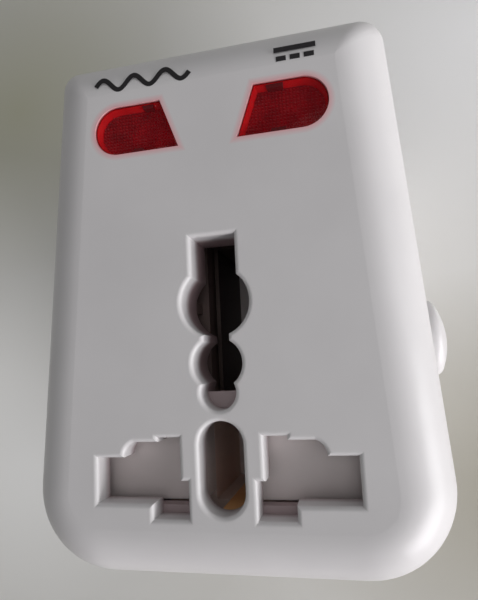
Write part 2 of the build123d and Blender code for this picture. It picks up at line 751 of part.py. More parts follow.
# Contact carrier: pockets for the contacts, a shelf and rails for the shutters, seats for their springs
SPRING_Z = CARRIER_TOP + GAP + SPRING_R + SPRING_WIRE / 2
with BuildPart() as contact_carrier:
    box_between(
        (-CARRIER_LOW_HALF, LINE_Y + CARRIER_LOW, PARTITION_TOP),
        (CARRIER_LOW_HALF, LINE_Y + CARRIER_SPLIT, CARRIER_TOP),
    )
    box_between(
        (-CARRIER_HALF, LINE_Y + CARRIER_SIDE_LOW, PARTITION_TOP),
        (CARRIER_HALF, LINE_Y + CARRIER_SPLIT, CARRIER_TOP),
    )
    outer = contact_carrier.edges().filter_by(Axis.Z).group_by(Axis.Y)[1]
    chamfer([e for e in outer if abs(e.center().X) > CARRIER_LOW_HALF + FIT], CARRIER_CHAMFER)
    box_between(
        (-CARRIER_UPPER_HALF, LINE_Y + CARRIER_SPLIT, PARTITION_TOP),
        (CARRIER_UPPER_HALF, LINE_Y + CARRIER_UPPER_TOP, CARRIER_TOP),
    )
    box_between(
        (-CARRIER_HALF, LINE_Y + CARRIER_SPLIT, CARRIER_TOP - SHELF_T),
        (CARRIER_HALF, LINE_Y + SHELF_TOP, CARRIER_TOP),
    )
    for side in (1, -1):
        with Locations((side * (CARRIER_HALF - RAIL_WIDTH / 2), LINE_Y + SHELF_TOP, CARRIER_TOP)):
            Box(
                RAIL_WIDTH,
                SHELF_TOP - CARRIER_SIDE_LOW - CARRIER_CHAMFER,
                RAIL_TOP - CARRIER_TOP,
                align=(Align.CENTER, Align.MAX, Align.MIN),
            )
        with Locations((side * SPRING_X, LINE_Y + SPRING_SEAT_Y, CARRIER_TOP)):
            Box(
                SPRING_SEAT_WIDTH,
                SPRING_SEAT_T,
                RAIL_TOP - CARRIER_TOP,
                align=(Align.CENTER, Align.MIN, Align.MIN),
            )
        with BuildSketch(Plane.XZ.offset(-LINE_Y - SPRING_SEAT_Y)):
            with Locations((side * SPRING_X, SPRING_Z)):
                Circle(SPRING_PEG_R)
        extrude(amount=SPRING_PEG)
    with BuildSketch(Plane.XY.offset(PARTITION_TOP)) as pockets:
        for side in (1, -1):
            with Locations((side * (POCKET_IN_X + POCKET_OUT_X) / 2, LINE_Y + POCKET_TOP)):
                Rectangle(
                    POCKET_OUT_X - POCKET_IN_X,
                    POCKET_TOP - POCKET_SIDE_LOW,
                    align=(Align.CENTER, Align.MAX),
                )
            with Locations((side * (POCKET_IN_X + POCKET_STEP_X) / 2, LINE_Y + POCKET_TOP)):
                Rectangle(
                    POCKET_STEP_X - POCKET_IN_X, POCKET_TOP - POCKET_LOW, align=(Align.CENTER, Align.MAX)
                )
        with Locations((0, LINE_Y + POCKET_LOW)):
            Rectangle(
                2 * EARTH_POCKET_HALF, EARTH_POCKET_TOP - POCKET_LOW, align=(Align.CENTER, Align.MIN)
            )
    extrude(amount=RAIL_TOP - PARTITION_TOP, mode=Mode.SUBTRACT)
    with BuildSketch(Plane.XY.offset(PARTITION_TOP)):
        with Locations((TAIL_X, LINE_Y + POCKET_TOP), (-TAIL_X, LINE_Y + POCKET_TOP)):
            Rectangle(TAIL_WIDTH + 2 * GAP, 2 * (CARRIER_SPLIT - POCKET_TOP) + GAP)
    extrude(amount=TAIL_LOW + TAIL_HEIGHT + GAP - PARTITION_TOP, mode=Mode.SUBTRACT)
contact_carrier.part.label = "contact_carrier"
export_step(contact_carrier.part, "parts/contact_carrier.step")

# Live contact: jaws for round and flat pins, and a tail to the bus strip
JAW_SPRUNG_Z = JAW_TOP - JAW_BEND
JAW_SEAT_Z = PARTITION_TOP + BRASS_T / 2
RISER_Y = LINE_Y + UK_Y + UK_PIN_HEIGHT / 2 + FINGER_AIR


def jaw_profile(middle, mouth, grip, seat):
    """The line of a folded strip whose two leaves close towards their mouth and flare at it."""
    return [
        (middle - mouth, JAW_TOP),
        (middle - grip, JAW_SPRUNG_Z),
        (middle - seat, JAW_SEAT_Z),
        (middle + seat, JAW_SEAT_Z),
        (middle + grip, JAW_SPRUNG_Z),
        (middle + mouth, JAW_TOP),
    ]


with BuildPart() as live_contact:
    with BuildSketch(Plane.YZ.offset(JAW_START_X)):
        with BuildLine() as jaws:
            Polyline(*jaw_profile(LINE_Y, JAW_MOUTH, JAW_GRIP, JAW_SEAT))
        trace(jaws.line, BRASS_T)
    extrude(amount=JAW_END_X - JAW_START_X)
    with BuildSketch(Plane.XZ.offset(-LINE_Y - BLADE_JAW_HALF)):
        with BuildLine() as blade_jaws:
            Polyline(*jaw_profile(US_BLADE_X, BLADE_JAW_MOUTH, BLADE_JAW_GRIP, BLADE_JAW_SEAT))
        trace(blade_jaws.line, BRASS_T)
    extrude(amount=2 * BLADE_JAW_HALF)
    box_between(
        (US_BLADE_X, LINE_Y - JAW_SEAT, PARTITION_TOP),
        (JAW_START_X, LINE_Y + JAW_SEAT, PARTITION_TOP + BRASS_T),
    )
    box_between(
        (TAIL_X - TAIL_WIDTH / 2, LINE_Y + JAW_GRIP, TAIL_LOW),
        (TAIL_X + TAIL_WIDTH / 2, RISER_Y, TAIL_LOW + TAIL_HEIGHT),
    )
live_contact.part.label = "live_contact"
export_step(live_contact.part, "parts/live_contact.step")

with BuildPart() as neutral_contact:
    add(mirror(live_contact.part, about=Plane.YZ))
neutral_contact.part.label = "neutral_contact"
export_step(neutral_contact.part, "parts/neutral_contact.step")

# Earth contact: one strip folded round the earth pins and on past the oval
with BuildPart() as earth_contact:
    with BuildSketch(Plane.XY.offset(PARTITION_TOP)):
        with BuildLine() as leaf:
            Polyline(
                (-EARTH_LEAF_X, LINE_Y + EARTH_LEAF_START),
                (-EARTH_LEAF_X, LINE_Y + EARTH_LEAF_TOP),
                (EARTH_LEAF_X, LINE_Y + EARTH_LEAF_TOP),
                (EARTH_LEAF_X, LINE_Y + EARTH_LEAF_START),
                (OVAL_LEAF_X, LINE_Y + OVAL_TOP),
                (OVAL_LEAF_X, LINE_Y + OVAL_LEAF_LOW),
                (OVAL_LEAF_END_X, LINE_Y + OVAL_LEAF_LOW),
            )
        trace(leaf.line, BRASS_T)
    extrude(amount=JAW_TOP - PARTITION_TOP)
    box_between(
        (OVAL_LEAF_END_X, LINE_Y + OVAL_LEAF_LOW - BRASS_T / 2, JAW_TOP),
        (OVAL_LEAF_X + BRASS_T / 2, LINE_Y + OVAL_LEAF_LOW + BRASS_T / 2, CEILING_Z - GAP),
    )
earth_contact.part.label = "earth_contact"
export_step(earth_contact.part, "parts/earth_contact.step")

# Bus strips under the partition, with a finger beside each plug set
EU_FINGER_Y = LINE_Y + EU_Y + EU_PIN_R + FINGER_AIR
US_FINGER_Y = LINE_Y + US_LOW - FINGER_AIR - BRASS_T
with BuildPart() as live_bus:
    box_between(
        (TAIL_X - BUS_WIDTH / 2, RISER_Y, BUS_Z),
        (TAIL_X + BUS_WIDTH / 2, US_FINGER_Y + BRASS_T, PARTITION_Z),
    )
    for finger_y, top in [(RISER_Y, RISER_TOP), (EU_FINGER_Y, BUS_Z), (US_FINGER_Y, BUS_Z)]:
        box_between(
            (TAIL_X - FINGER_WIDTH / 2, finger_y, FINGER_END_Z),
            (TAIL_X + FINGER_WIDTH / 2, finger_y + BRASS_T, top),
        )
live_bus.part.label = "live_bus"
export_step(live_bus.part, "parts/live_bus.step")

with BuildPart() as neutral_bus:
    add(mirror(live_bus.part, about=Plane.YZ))
neutral_bus.part.label = "neutral_bus"
export_step(neutral_bus.part, "parts/neutral_bus.step")

EARTH_BUS_X = EARTH_LEAF_X + BRASS_T / 2
with BuildPart() as earth_bus:
    box_between(
        (EARTH_BUS_X, LINE_Y + UK_Y + UK_EARTH_RISE - FINGER_WIDTH / 2, FINGER_END_Z),
        (EARTH_BUS_X + BRASS_T, LINE_Y + UK_Y + UK_EARTH_RISE + FINGER_WIDTH / 2, RISER_TOP),
    )
earth_bus.part.label = "earth_bus"
export_step(earth_bus.part, "parts/earth_bus.step")


def shutter_slice(x, base, width):
    """A slice of the right shutter under its sloping top, from one x over a width."""
    with BuildPart() as part:
        with BuildSketch(Plane.YZ.offset(x)):
            with BuildLine():
                Polyline(
                    (LINE_Y + SHUTTER_LOW, base),
                    (LINE_Y + SHUTTER_HIGH, base),
                    (LINE_Y + SHUTTER_HIGH, CEILING_Z - SHUTTER_AIR),
                    (LINE_Y + SHUTTER_LOW, CEILING_Z - SHUTTER_AIR - SHUTTER_SLOPE),
                    close=True,
                )
            make_face()
        extrude(amount=width)
    return part.part


# Safety shutters: each slopes down towards the lower end, so that a pin pushes it up and open
with BuildPart() as live_shutter:
    add(shutter_slice(SHUTTER_IN_X, CARRIER_TOP + FIT, SHUTTER_OUT_X - SHUTTER_IN_X))
    add(shutter_slice(SHUTTER_OUT_X, RAIL_TOP + FIT, SHUTTER_WING_X - SHUTTER_OUT_X))
    fillet(live_shutter.edges().group_by(Axis.Z)[-1], SHUTTER_EDGE_R)
    with BuildSketch(Plane.XZ.offset(-LINE_Y - SHUTTER_HIGH)):
        with Locations((SPRING_X, SPRING_Z)):
            Circle(SPRING_PEG_R)
    extrude(amount=-SPRING_PEG)
live_shutter.part.label = "live_shutter"
export_step(live_shutter.part, "parts/live_shutter.step")

with BuildPart() as neutral_shutter:
    add(mirror(live_shutter.part, about=Plane.YZ))
neutral_shutter.part.label = "neutral_shutter"
export_step(neutral_shutter.part, "parts/neutral_shutter.step")


def coil_points(low_y, high_y):
    """Points and directions along a coil about an axis in Y."""
    rise = (high_y - low_y) / (2 * pi * SPRING_TURNS)
    for step in range(SPRING_STEP_COUNT * SPRING_TURNS + 1):
        turn = 2 * pi * step / SPRING_STEP_COUNT
        place = Vector(
            SPRING_X + SPRING_R * cos(turn), low_y + rise * turn, SPRING_Z + SPRING_R * sin(turn)
        )
        way = Vector(-SPRING_R * sin(turn), rise, SPRING_R * cos(turn)).normalized()
        yield place, way


def arc_joint(start, start_way, end, end_way):
    """Where two equal arcs meet that leave start and reach end in the given directions."""
    across = end - start
    square = 2 * (start_way.dot(end_way) - 1)
    linear = -2 * across.dot(start_way + end_way)
    reach = (-linear - sqrt(linear**2 - 4 * square * across.dot(across))) / (2 * square)
    return (start + end + (start_way - end_way) * reach) / 2


# Return springs of the shutters, each one wound wire
SPRING_LOW_Y = LINE_Y + SHUTTER_HIGH + SPRING_WIRE / 2 + PRESS
SPRING_HIGH_Y = LINE_Y + SPRING_SEAT_Y - SPRING_WIRE / 2 - PRESS
with BuildPart() as live_shutter_spring:
    with BuildLine() as coil:
        marks = list(coil_points(SPRING_LOW_Y, SPRING_HIGH_Y))
        way = marks[0][1]
        for (start, start_way), (end, end_way) in zip(marks, marks[1:]):
            joint = arc_joint(start, start_way, end, end_way)
            first = TangentArc(start, joint, tangent=start_way)
            TangentArc(joint, end, tangent=first % 1)
    with BuildSketch(Plane(origin=marks[0][0], z_dir=marks[0][1])):
        Circle(SPRING_WIRE / 2)
    sweep()
live_shutter_spring.part.label = "live_shutter_spring"
export_step(live_shutter_spring.part, "parts/live_shutter_spring.step")

spring_gap = min(
    (a - b).length - SPRING_WIRE
    for i, (a, _) in enumerate(marks)
    for b, _ in marks[i + SPRING_STEP_COUNT - 1 :]
)
print("least gap between the spring's turns", round(spring_gap, 2))

with BuildPart() as neutral_shutter_spring:
    add(mirror(live_shutter_spring.part, about=Plane.YZ))
neutral_shutter_spring.part.label = "neutral_shutter_spring"
export_step(neutral_shutter_spring.part, "parts/neutral_shutter_spring.step")


def slide_button(side, rise):
    """A domed button on a stem that comes through the side wall, with a peg into its carriage."""
    wall_x = half_width(LINE_Y + rise)
    arm_x = arm_face_x(rise)
    out = Vector(side * cos(radians(WALL_TILT)), sin(radians(WALL_TILT)), 0)
    top = BUTTON_PROUD - GAP
    rim = (BUTTON_RIM, BUTTON_R)
    dome_r = (BUTTON_R**2 + (top - BUTTON_RIM) ** 2) / (2 * (top - BUTTON_RIM))
    half = asin(BUTTON_R / dome_r) / 2
    seat = Vector(side * wall_x, LINE_Y + rise, BUTTON_Z) + out * GAP
    with BuildPart() as button:
        with BuildSketch(Plane(origin=seat, x_dir=out, z_dir=out.cross(Vector(0, 0, 1)))) as half_side:
            with BuildLine():
                Polyline((BUTTON_RIM, BUTTON_R), (0, BUTTON_R), (0, 0), (top, 0))
                ThreePointArc((top, 0), (top - dome_r * (1 - cos(half)), dome_r * sin(half)), rim)
            make_face()
            fillet(half_side.vertices().sort_by(lambda v: v.X * v.Y)[-1], BUTTON_EDGE_R)
        revolve(axis=Axis(seat, out))
        with BuildSketch(Plane.YZ.offset(side * arm_x)):
            with Locations((LINE_Y + rise, BUTTON_Z)):
                Circle(STEM_R)
        extrude(amount=side * (wall_x + GAP + BUTTON_RIM / 2 - arm_x))
        with BuildSketch(Plane.YZ.offset(side * arm_x)):
            with Locations((LINE_Y + rise, BUTTON_Z)):
                Circle(PEG_R)
        extrude(amount=-side * (PEG_LENGTH - GAP))
    return button.part


def arm_block(side, rise, low, inner_x):
    """The arm from a carriage up to its button, with the hole for the button's peg."""
    face_x = arm_face_x(rise)
    with BuildPart() as arm:
        box_between(
            (face_x - ARM_T, LINE_Y + rise - ARM_HALF, low),
            (face_x, LINE_Y + rise + ARM_HALF, BUTTON_Z + ARM_HALF),
        )
        box_between(
            (inner_x, LINE_Y + rise - ARM_HALF, low),
            (face_x, LINE_Y + rise + ARM_HALF, low + UK_T),
        )
        with BuildSketch(Plane.YZ.offset(face_x)):
            with Locations((LINE_Y + rise, BUTTON_Z)):
                Circle(PEG_R + PRESS)
        extrude(amount=-PEG_LENGTH, mode=Mode.SUBTRACT)
    return arm.part if side > 0 else mirror(arm.part, about=Plane.YZ)


# European set: carriage with two round pins and their sleeves
EU_LOW = CARRIAGE_STOP_Z + EU_TRAVEL
eu_arm = arm_block(1, EU_Y, EU_LOW, EU_LEFT_X)
with BuildPart() as eu_carriage:
    box_between(
        (-EU_LEFT_X, LINE_Y + EU_Y - EU_HALF_HEIGHT, EU_LOW),
        (arm_face_x(EU_Y) - ARM_T, LINE_Y + EU_Y + EU_HALF_HEIGHT, EU_LOW + EU_T),
    )
    fillet(eu_carriage.edges().filter_by(Axis.Z).group_by(Axis.X)[0], CORNER_R)
    add(eu_arm)
    with BuildSketch(Plane.XY.offset(EU_LOW)):
        with Locations(*EU_GUIDES):
            Circle(EU_GUIDE_R + FIT)
        for side in (1, -1):
            with Locations((side * EU_PIN_X, LINE_Y + EU_Y)):
                Circle(EU_PIN_R + PRESS)
            with Locations((side * EU_PIN_X, LINE_Y + EU_Y + EU_PIN_R - NOTCH_BITE)):
                Rectangle(NOTCH_WIDTH, EU_HALF_HEIGHT, align=(Align.CENTER, Align.MIN))
    extrude(amount=EU_T, mode=Mode.SUBTRACT)
eu_carriage.part.label = "eu_carriage"
export_step(eu_carriage.part, "parts/eu_carriage.step")

with BuildPart() as eu_button:
    add(slide_button(1, EU_Y))
eu_button.part.label = "eu_button"
export_step(eu_button.part, "parts/eu_button.step")

EU_SHOULDER_Z = TIP_Z + EU_BARE
with BuildPart() as eu_pins:
    with BuildSketch(Plane.XY.offset(TIP_Z)):
        with Locations((EU_PIN_X, LINE_Y + EU_Y), (-EU_PIN_X, LINE_Y + EU_Y)):
            Circle(EU_PIN_R)
    extrude(amount=EU_BARE)
    fillet(eu_pins.edges().group_by(Axis.Z)[0], EU_PIN_R - RIM_R)
    with BuildSketch(Plane.XY.offset(EU_SHOULDER_Z)):
        with Locations((EU_PIN_X, LINE_Y + EU_Y), (-EU_PIN_X, LINE_Y + EU_Y)):
            Circle(EU_CORE_R)
    extrude(amount=EU_LOW - EU_SHOULDER_Z)
    with BuildSketch(Plane.XY.offset(EU_LOW)):
        with Locations((EU_PIN_X, LINE_Y + EU_Y), (-EU_PIN_X, LINE_Y + EU_Y)):
            Circle(EU_PIN_R)
    extrude(amount=EU_T)
eu_pins.part.label = "eu_pins"
export_step(eu_pins.part, "parts/eu_pins.step")

with BuildPart() as eu_pin_sleeves:
    with BuildSketch(Plane.XY.offset(EU_SHOULDER_Z)):
        with Locations((EU_PIN_X, LINE_Y + EU_Y), (-EU_PIN_X, LINE_Y + EU_Y)):
            Circle(EU_SLEEVE_R)
            Circle(EU_CORE_R + PRESS, mode=Mode.SUBTRACT)
    extrude(amount=EU_LOW - EU_SHOULDER_Z)
eu_pin_sleeves.part.label = "eu_pin_sleeves"
export_step(eu_pin_sleeves.part, "parts/eu_pin_sleeves.step")

# British set: a carriage that reaches round the European one, with three flat pins
UK_LOW = CARRIAGE_STOP_Z + UK_TRAVEL
UK_PINS = [(side * UK_PIN_X, LINE_Y + UK_Y) for side in (1, -1)]
UK_EARTH_PLACE = (0, LINE_Y + UK_Y + UK_EARTH_RISE)
uk_arm = arm_block(-1, EU_Y, UK_LOW, UK_SPINE_OUT_X - UK_SPINE_WIDTH)
with BuildPart() as uk_carriage:
    with BuildSketch(Plane.XY.offset(UK_LOW)) as frame:
        with Locations((-UK_SPINE_OUT_X, LINE_Y + UK_Y)):
            Rectangle(
                UK_SPINE_OUT_X + UK_RIGHT_X, 2 * UK_HALF_HEIGHT, align=(Align.MIN, Align.CENTER)
            )
        with Locations((-UK_SPINE_OUT_X, LINE_Y + UK_Y - UK_HALF_HEIGHT)):
            Rectangle(
                UK_SPINE_WIDTH, UK_ARM_HIGH - UK_Y + UK_HALF_HEIGHT, align=(Align.MIN, Align.MIN)
            )
        with Locations((-UK_SPINE_OUT_X, LINE_Y + UK_ARM_LOW)):
            Rectangle(
                UK_SPINE_OUT_X + UK_ARM_END_X, UK_ARM_HIGH - UK_ARM_LOW, align=(Align.MIN, Align.MIN)
            )
        fillet(frame.vertices(), CORNER_R / 2)
        with Locations(*UK_GUIDES):
            Circle(UK_GUIDE_R + FIT, mode=Mode.SUBTRACT)
        for side in (1, -1):
            with Locations((side * UK_PIN_X, LINE_Y + UK_Y)):
                Rectangle(UK_PIN_WIDTH + 2 * PRESS, UK_PIN_HEIGHT + 2 * PRESS, mode=Mode.SUBTRACT)
            with Locations((side * TAIL_X, LINE_Y + UK_Y + UK_PIN_HEIGHT / 2 - NOTCH_BITE)):
                Rectangle(
                    NOTCH_WIDTH, UK_HALF_HEIGHT, align=(Align.CENTER, Align.MIN), mode=Mode.SUBTRACT
                )
        with Locations(UK_EARTH_PLACE):
            Rectangle(UK_EARTH_WIDTH + 2 * PRESS, UK_EARTH_HEIGHT + 2 * PRESS, mode=Mode.SUBTRACT)
        with Locations((UK_EARTH_WIDTH / 2 - NOTCH_BITE, UK_EARTH_PLACE[1])):
            Rectangle(
                UK_ARM_END_X, NOTCH_WIDTH, align=(Align.MIN, Align.CENTER), mode=Mode.SUBTRACT
            )
    extrude(amount=UK_T)
    add(uk_arm)
uk_carriage.part.label = "uk_carriage"
export_step(uk_carriage.part, "parts/uk_carriage.step")

with BuildPart() as uk_button:
    add(slide_button(-1, EU_Y))
uk_button.part.label = "uk_button"
export_step(uk_button.part, "parts/uk_button.step")

UK_TIP_Z = UK_TRAVEL - UK_PIN_LENGTH
UK_SHOULDER_Z = UK_TIP_Z + UK_BARE
with BuildPart() as uk_power_pins:
    with BuildSketch(Plane.XY.offset(UK_TIP_Z)):
        with Locations(*UK_PINS):
            Rectangle(UK_PIN_WIDTH, UK_PIN_HEIGHT)
    extrude(amount=UK_BARE)
    chamfer(uk_power_pins.edges().group_by(Axis.Z)[0], UK_CHAMFER)
    with BuildSketch(Plane.XY.offset(UK_SHOULDER_Z)):
        with Locations(*UK_PINS):
            Rectangle(UK_PIN_WIDTH - 2 * UK_SLEEVE_T, UK_PIN_HEIGHT - 2 * UK_SLEEVE_T)
    extrude(amount=UK_LOW - UK_SHOULDER_Z)
    with BuildSketch(Plane.XY.offset(UK_LOW)):
        with Locations(*UK_PINS):
            Rectangle(UK_PIN_WIDTH, UK_PIN_HEIGHT)
    extrude(amount=UK_T)
uk_power_pins.part.label = "uk_power_pins"
export_step(uk_power_pins.part, "parts/uk_power_pins.step")

with BuildPart() as uk_pin_sleeves:
    core_width = UK_PIN_WIDTH - 2 * UK_SLEEVE_T + 2 * PRESS
    core_height = UK_PIN_HEIGHT - 2 * UK_SLEEVE_T + 2 * PRESS
    with BuildSketch(Plane.XY.offset(UK_SHOULDER_Z)):
        with Locations(*UK_PINS):
            Rectangle(UK_PIN_WIDTH, UK_PIN_HEIGHT)
            Rectangle(core_width, core_height, mode=Mode.SUBTRACT)
    extrude(amount=UK_LOW - UK_SHOULDER_Z)
uk_pin_sleeves.part.label = "uk_pin_sleeves"
export_step(uk_pin_sleeves.part, "parts/uk_pin_sleeves.step")

with BuildPart() as uk_earth_pin:
    with BuildSketch(Plane.XY.offset(TIP_Z)):
        with Locations(UK_EARTH_PLACE):
            Rectangle(UK_EARTH_WIDTH, UK_EARTH_HEIGHT)
    extrude(amount=UK_LOW + UK_T - TIP_Z)
    chamfer(uk_earth_pin.edges().group_by(Axis.Z)[0], UK_CHAMFER)
uk_earth_pin.part.label = "uk_earth_pin"
export_step(uk_earth_pin.part, "parts/uk_earth_pin.step")

# American and Australian set: two flat blades on turrets that turn in the carriage
US_BASE = CARRIAGE_STOP_Z + US_TRAVEL
US_TOP = US_BASE + US_T
US_COVER_Z = US_TOP + TURRET_FLANGE_T + FIT
US_TURRETS = [(side * US_BLADE_X, LINE_Y + US_Y) for side in (1, -1)]
US_LEGS = [(0, LINE_Y + US_Y + side * US_LEG_RISE) for side in (1, -1)]
us_arm = arm_block(-1, US_Y, US_BASE, US_HALF_WIDTH - CORNER_R)
with BuildPart() as us_carriage:
    with BuildSketch(Plane.XY.offset(US_BASE)) as frame:
        with Locations((0, LINE_Y + US_LOW)):
            Rectangle(2 * US_HALF_WIDTH, US_HIGH - US_LOW, align=(Align.CENTER, Align.MIN))
        fillet(frame.vertices(), US_CORNER_R)
        with Locations(*US_TURRETS):
            Circle(TURRET_R + FIT, mode=Mode.SUBTRACT)
    extrude(amount=US_T)
    add(us_arm)
    with BuildSketch(Plane.XY.offset(US_BASE)):
        with Locations(*US_GUIDES):
            Circle(US_GUIDE_R + FIT)
    extrude(amount=BUTTON_Z + ARM_HALF - US_BASE, mode=Mode.SUBTRACT)
us_carriage.part.label = "us_carriage"
export_step(us_carriage.part, "parts/us_carriage.step")

with BuildPart() as us_button:
    add(slide_button(-1, US_Y))
us_button.part.label = "us_button"
export_step(us_button.part, "parts/us_button.step")

with BuildPart() as us_right_turret:
    with BuildSketch(Plane.XY.offset(US_BASE)):
        with Locations(US_TURRETS[0]):
            Circle(TURRET_R)
    extrude(amount=US_T)
    with BuildSketch(Plane.XY.offset(US_TOP)):
        with Locations(US_TURRETS[0]):
            Circle(TURRET_FLANGE_R)
    extrude(amount=TURRET_FLANGE_T)
    with BuildSketch(Plane.XY.offset(US_BASE)):
        with Locations(US_TURRETS[0]):
            Rectangle(US_BLADE_T + 2 * PRESS, US_BLADE_WIDTH + 2 * PRESS)
    extrude(amount=US_T + TURRET_FLANGE_T, mode=Mode.SUBTRACT)
us_right_turret.part.label = "us_right_turret"
export_step(us_right_turret.part, "parts/us_right_turret.step")

with BuildPart() as us_left_turret:
    add(mirror(us_right_turret.part, about=Plane.YZ))
us_left_turret.part.label = "us_left_turret"
export_step(us_left_turret.part, "parts/us_left_turret.step")

with BuildPart() as us_right_blade:
    with BuildSketch(Plane.XY.offset(TIP_Z)):
        with Locations(US_TURRETS[0]):
            Rectangle(US_BLADE_T, US_BLADE_WIDTH)
    extrude(amount=US_COVER_Z + US_COVER_T - GAP - TIP_Z)
    tip = us_right_blade.edges().group_by(Axis.Z)[0]
    chamfer(tip.filter_by(Axis.X), US_BLADE_NOSE)
    tip = us_right_blade.edges().group_by(Axis.Z)[0]
    chamfer(tip.filter_by(Axis.Y), US_BLADE_EASE)
us_right_blade.part.label = "us_right_blade"
export_step(us_right_blade.part, "parts/us_right_blade.step")

with BuildPart() as us_left_blade:
    add(mirror(us_right_blade.part, about=Plane.YZ))
us_left_blade.part.label = "us_left_blade"
export_step(us_left_blade.part, "parts/us_left_blade.step")

with BuildPart() as us_cover:
    with BuildSketch(Plane.XY.offset(US_COVER_Z)) as plate:
        with Locations((0, LINE_Y + US_LOW + CORNER_R)):
            Rectangle(
                2 * US_COVER_HALF, US_HIGH - US_LOW - CORNER_R, align=(Align.CENTER, Align.MIN)
            )
        fillet(plate.vertices(), US_CORNER_R)
        with Locations(*US_TURRETS):
            Circle(US_COVER_WINDOW_R, mode=Mode.SUBTRACT)
    extrude(amount=US_COVER_T)
    with BuildSketch(Plane.XY.offset(US_TOP)):
        with Locations(*US_LEGS):
            Circle(US_LEG_R)
    extrude(amount=US_COVER_Z - US_TOP)
us_cover.part.label = "us_cover"
export_step(us_cover.part, "parts/us_cover.step")

US_WIPER_Z = US_COVER_Z + US_COVER_T
with BuildPart() as us_wipers:
    box_between(
        (US_BLADE_X - US_WIPER_WIDTH / 2, LINE_Y + US_WIPER_LOW, US_WIPER_Z),
        (US_BLADE_X + US_WIPER_WIDTH / 2, LINE_Y + US_Y + US_LEG_RISE, US_WIPER_Z + BRASS_T),
    )
    box_between(
        (US_BLADE_X - US_WIPER_WIDTH / 2, LINE_Y + US_LOW, US_WIPER_Z),
        (TAIL_X + FINGER_WIDTH / 2, LINE_Y + US_LOW + US_WIPER_FOOT, US_WIPER_Z + BRASS_T),
    )
    mirror(about=Plane.YZ)
us_wipers.part.label = "us_wipers"
export_step(us_wipers.part, "parts/us_wipers.step")

# Fuse beside the contact carrier, held in two clips
FUSE_Z = PARTITION_TOP + BRASS_T + FUSE_R + PRESS
FUSE_Y = LINE_Y + FUSE_LOW
with BuildPart() as fuse_tube:
    with BuildSketch(Plane.XZ.offset(-FUSE_Y - GAP)):
        with Locations((FUSE_X, FUSE_Z)):
            Circle(FUSE_TUBE_R)
    extrude(amount=-(FUSE_LENGTH - 2 * GAP))
fuse_tube.part.label = "fuse_tube"
export_step(fuse_tube.part, "parts/fuse_tube.step")

with BuildPart() as fuse_caps:
    with BuildSketch(Plane.XZ.offset(-FUSE_Y)):
        with Locations((FUSE_X, FUSE_Z)):
            Circle(FUSE_R)
    extrude(amount=-FUSE_LENGTH)
    with BuildSketch(Plane.XZ.offset(-FUSE_Y - GAP)):
        with Locations((FUSE_X, FUSE_Z)):
            Circle(FUSE_TUBE_R + PRESS)
    extrude(amount=-(FUSE_LENGTH - 2 * GAP), mode=Mode.SUBTRACT)
    with BuildSketch(Plane.XZ.offset(-FUSE_Y - FUSE_CAP)):
        with Locations((FUSE_X, FUSE_Z)):
            Circle(FUSE_R + FIT)
    extrude(amount=-(FUSE_LENGTH - 2 * FUSE_CAP), mode=Mode.SUBTRACT)
fuse_caps.part.label = "fuse_caps"
export_step(fuse_caps.part, "parts/fuse_caps.step")

with BuildPart() as fuse_clips:
    for clip_y in (FUSE_Y + FUSE_CAP / 2, FUSE_Y + FUSE_LENGTH - FUSE_CAP / 2):
        with BuildSketch(Plane.XZ.offset(-clip_y)):
            with Locations((FUSE_X, FUSE_Z)):
                Circle(FUSE_R + PRESS + BRASS_T)
                Circle(FUSE_R + PRESS, mode=Mode.SUBTRACT)
            with Locations((FUSE_X, FUSE_Z + CLIP_OPEN)):
                Rectangle(CLIP_CUT, CLIP_CUT, align=(Align.CENTER, Align.MIN), mode=Mode.SUBTRACT)
        extrude(amount=CLIP_WIDTH / 2, both=True)
fuse_clips.part.label = "fuse_clips"
export_step(fuse_clips.part, "parts/fuse_clips.step")

# USB charger: socket in the top wall, on a board that stands on the partition's posts
USB_END_Y = BODY_LENGTH / 2 - USB_SINK
USB_OUTER_WIDTH = USB_INNER_WIDTH + 2 * USB_SHEET
USB_OUTER_HEIGHT = USB_INNER_HEIGHT + 2 * USB_SHEET
with BuildPart() as usb_shell:
    with BuildSketch(Plane.XZ.offset(-USB_END_Y)):
        with Locations((0, USB_Z)):
            Rectangle(USB_OUTER_WIDTH, USB_OUTER_HEIGHT)
            Rectangle(USB_INNER_WIDTH, USB_INNER_HEIGHT, mode=Mode.SUBTRACT)
    extrude(amount=USB_LENGTH)
usb_shell.part.label = "usb_shell"
export_step(usb_shell.part, "parts/usb_shell.step")

TONGUE_Z = USB_Z + TONGUE_RISE
TONGUE_ROOT_Y = USB_END_Y - USB_LENGTH + TONGUE_BASE
with BuildPart() as usb_tongue:
    with BuildSketch(Plane.XZ.offset(-TONGUE_ROOT_Y)):
        with Locations((0, USB_Z)):
            Rectangle(USB_INNER_WIDTH - 2 * PRESS, USB_INNER_HEIGHT - 2 * PRESS)
    extrude(amount=TONGUE_BASE)
    with BuildSketch(Plane.XZ.offset(-TONGUE_ROOT_Y)):
        with Locations((0, TONGUE_Z)):
            Rectangle(TONGUE_WIDTH, TONGUE_T)
    extrude(amount=-TONGUE_LENGTH)
usb_tongue.part.label = "usb_tongue"
export_step(usb_tongue.part, "parts/usb_tongue.step")

with BuildPart() as usb_contacts:
    with BuildSketch(Plane.XY.offset(TONGUE_Z - TONGUE_T / 2 - USB_CONTACT_T)):
        with Locations((0, TONGUE_ROOT_Y + TONGUE_LENGTH / 2)):
            with GridLocations(USB_CONTACT_PITCH, 1, USB_CONTACTS, 1):
                Rectangle(USB_CONTACT_WIDTH, TONGUE_LENGTH - 2 * RIM_R)
    extrude(amount=USB_CONTACT_T)
usb_contacts.part.label = "usb_contacts"
export_step(usb_contacts.part, "parts/usb_contacts.step")

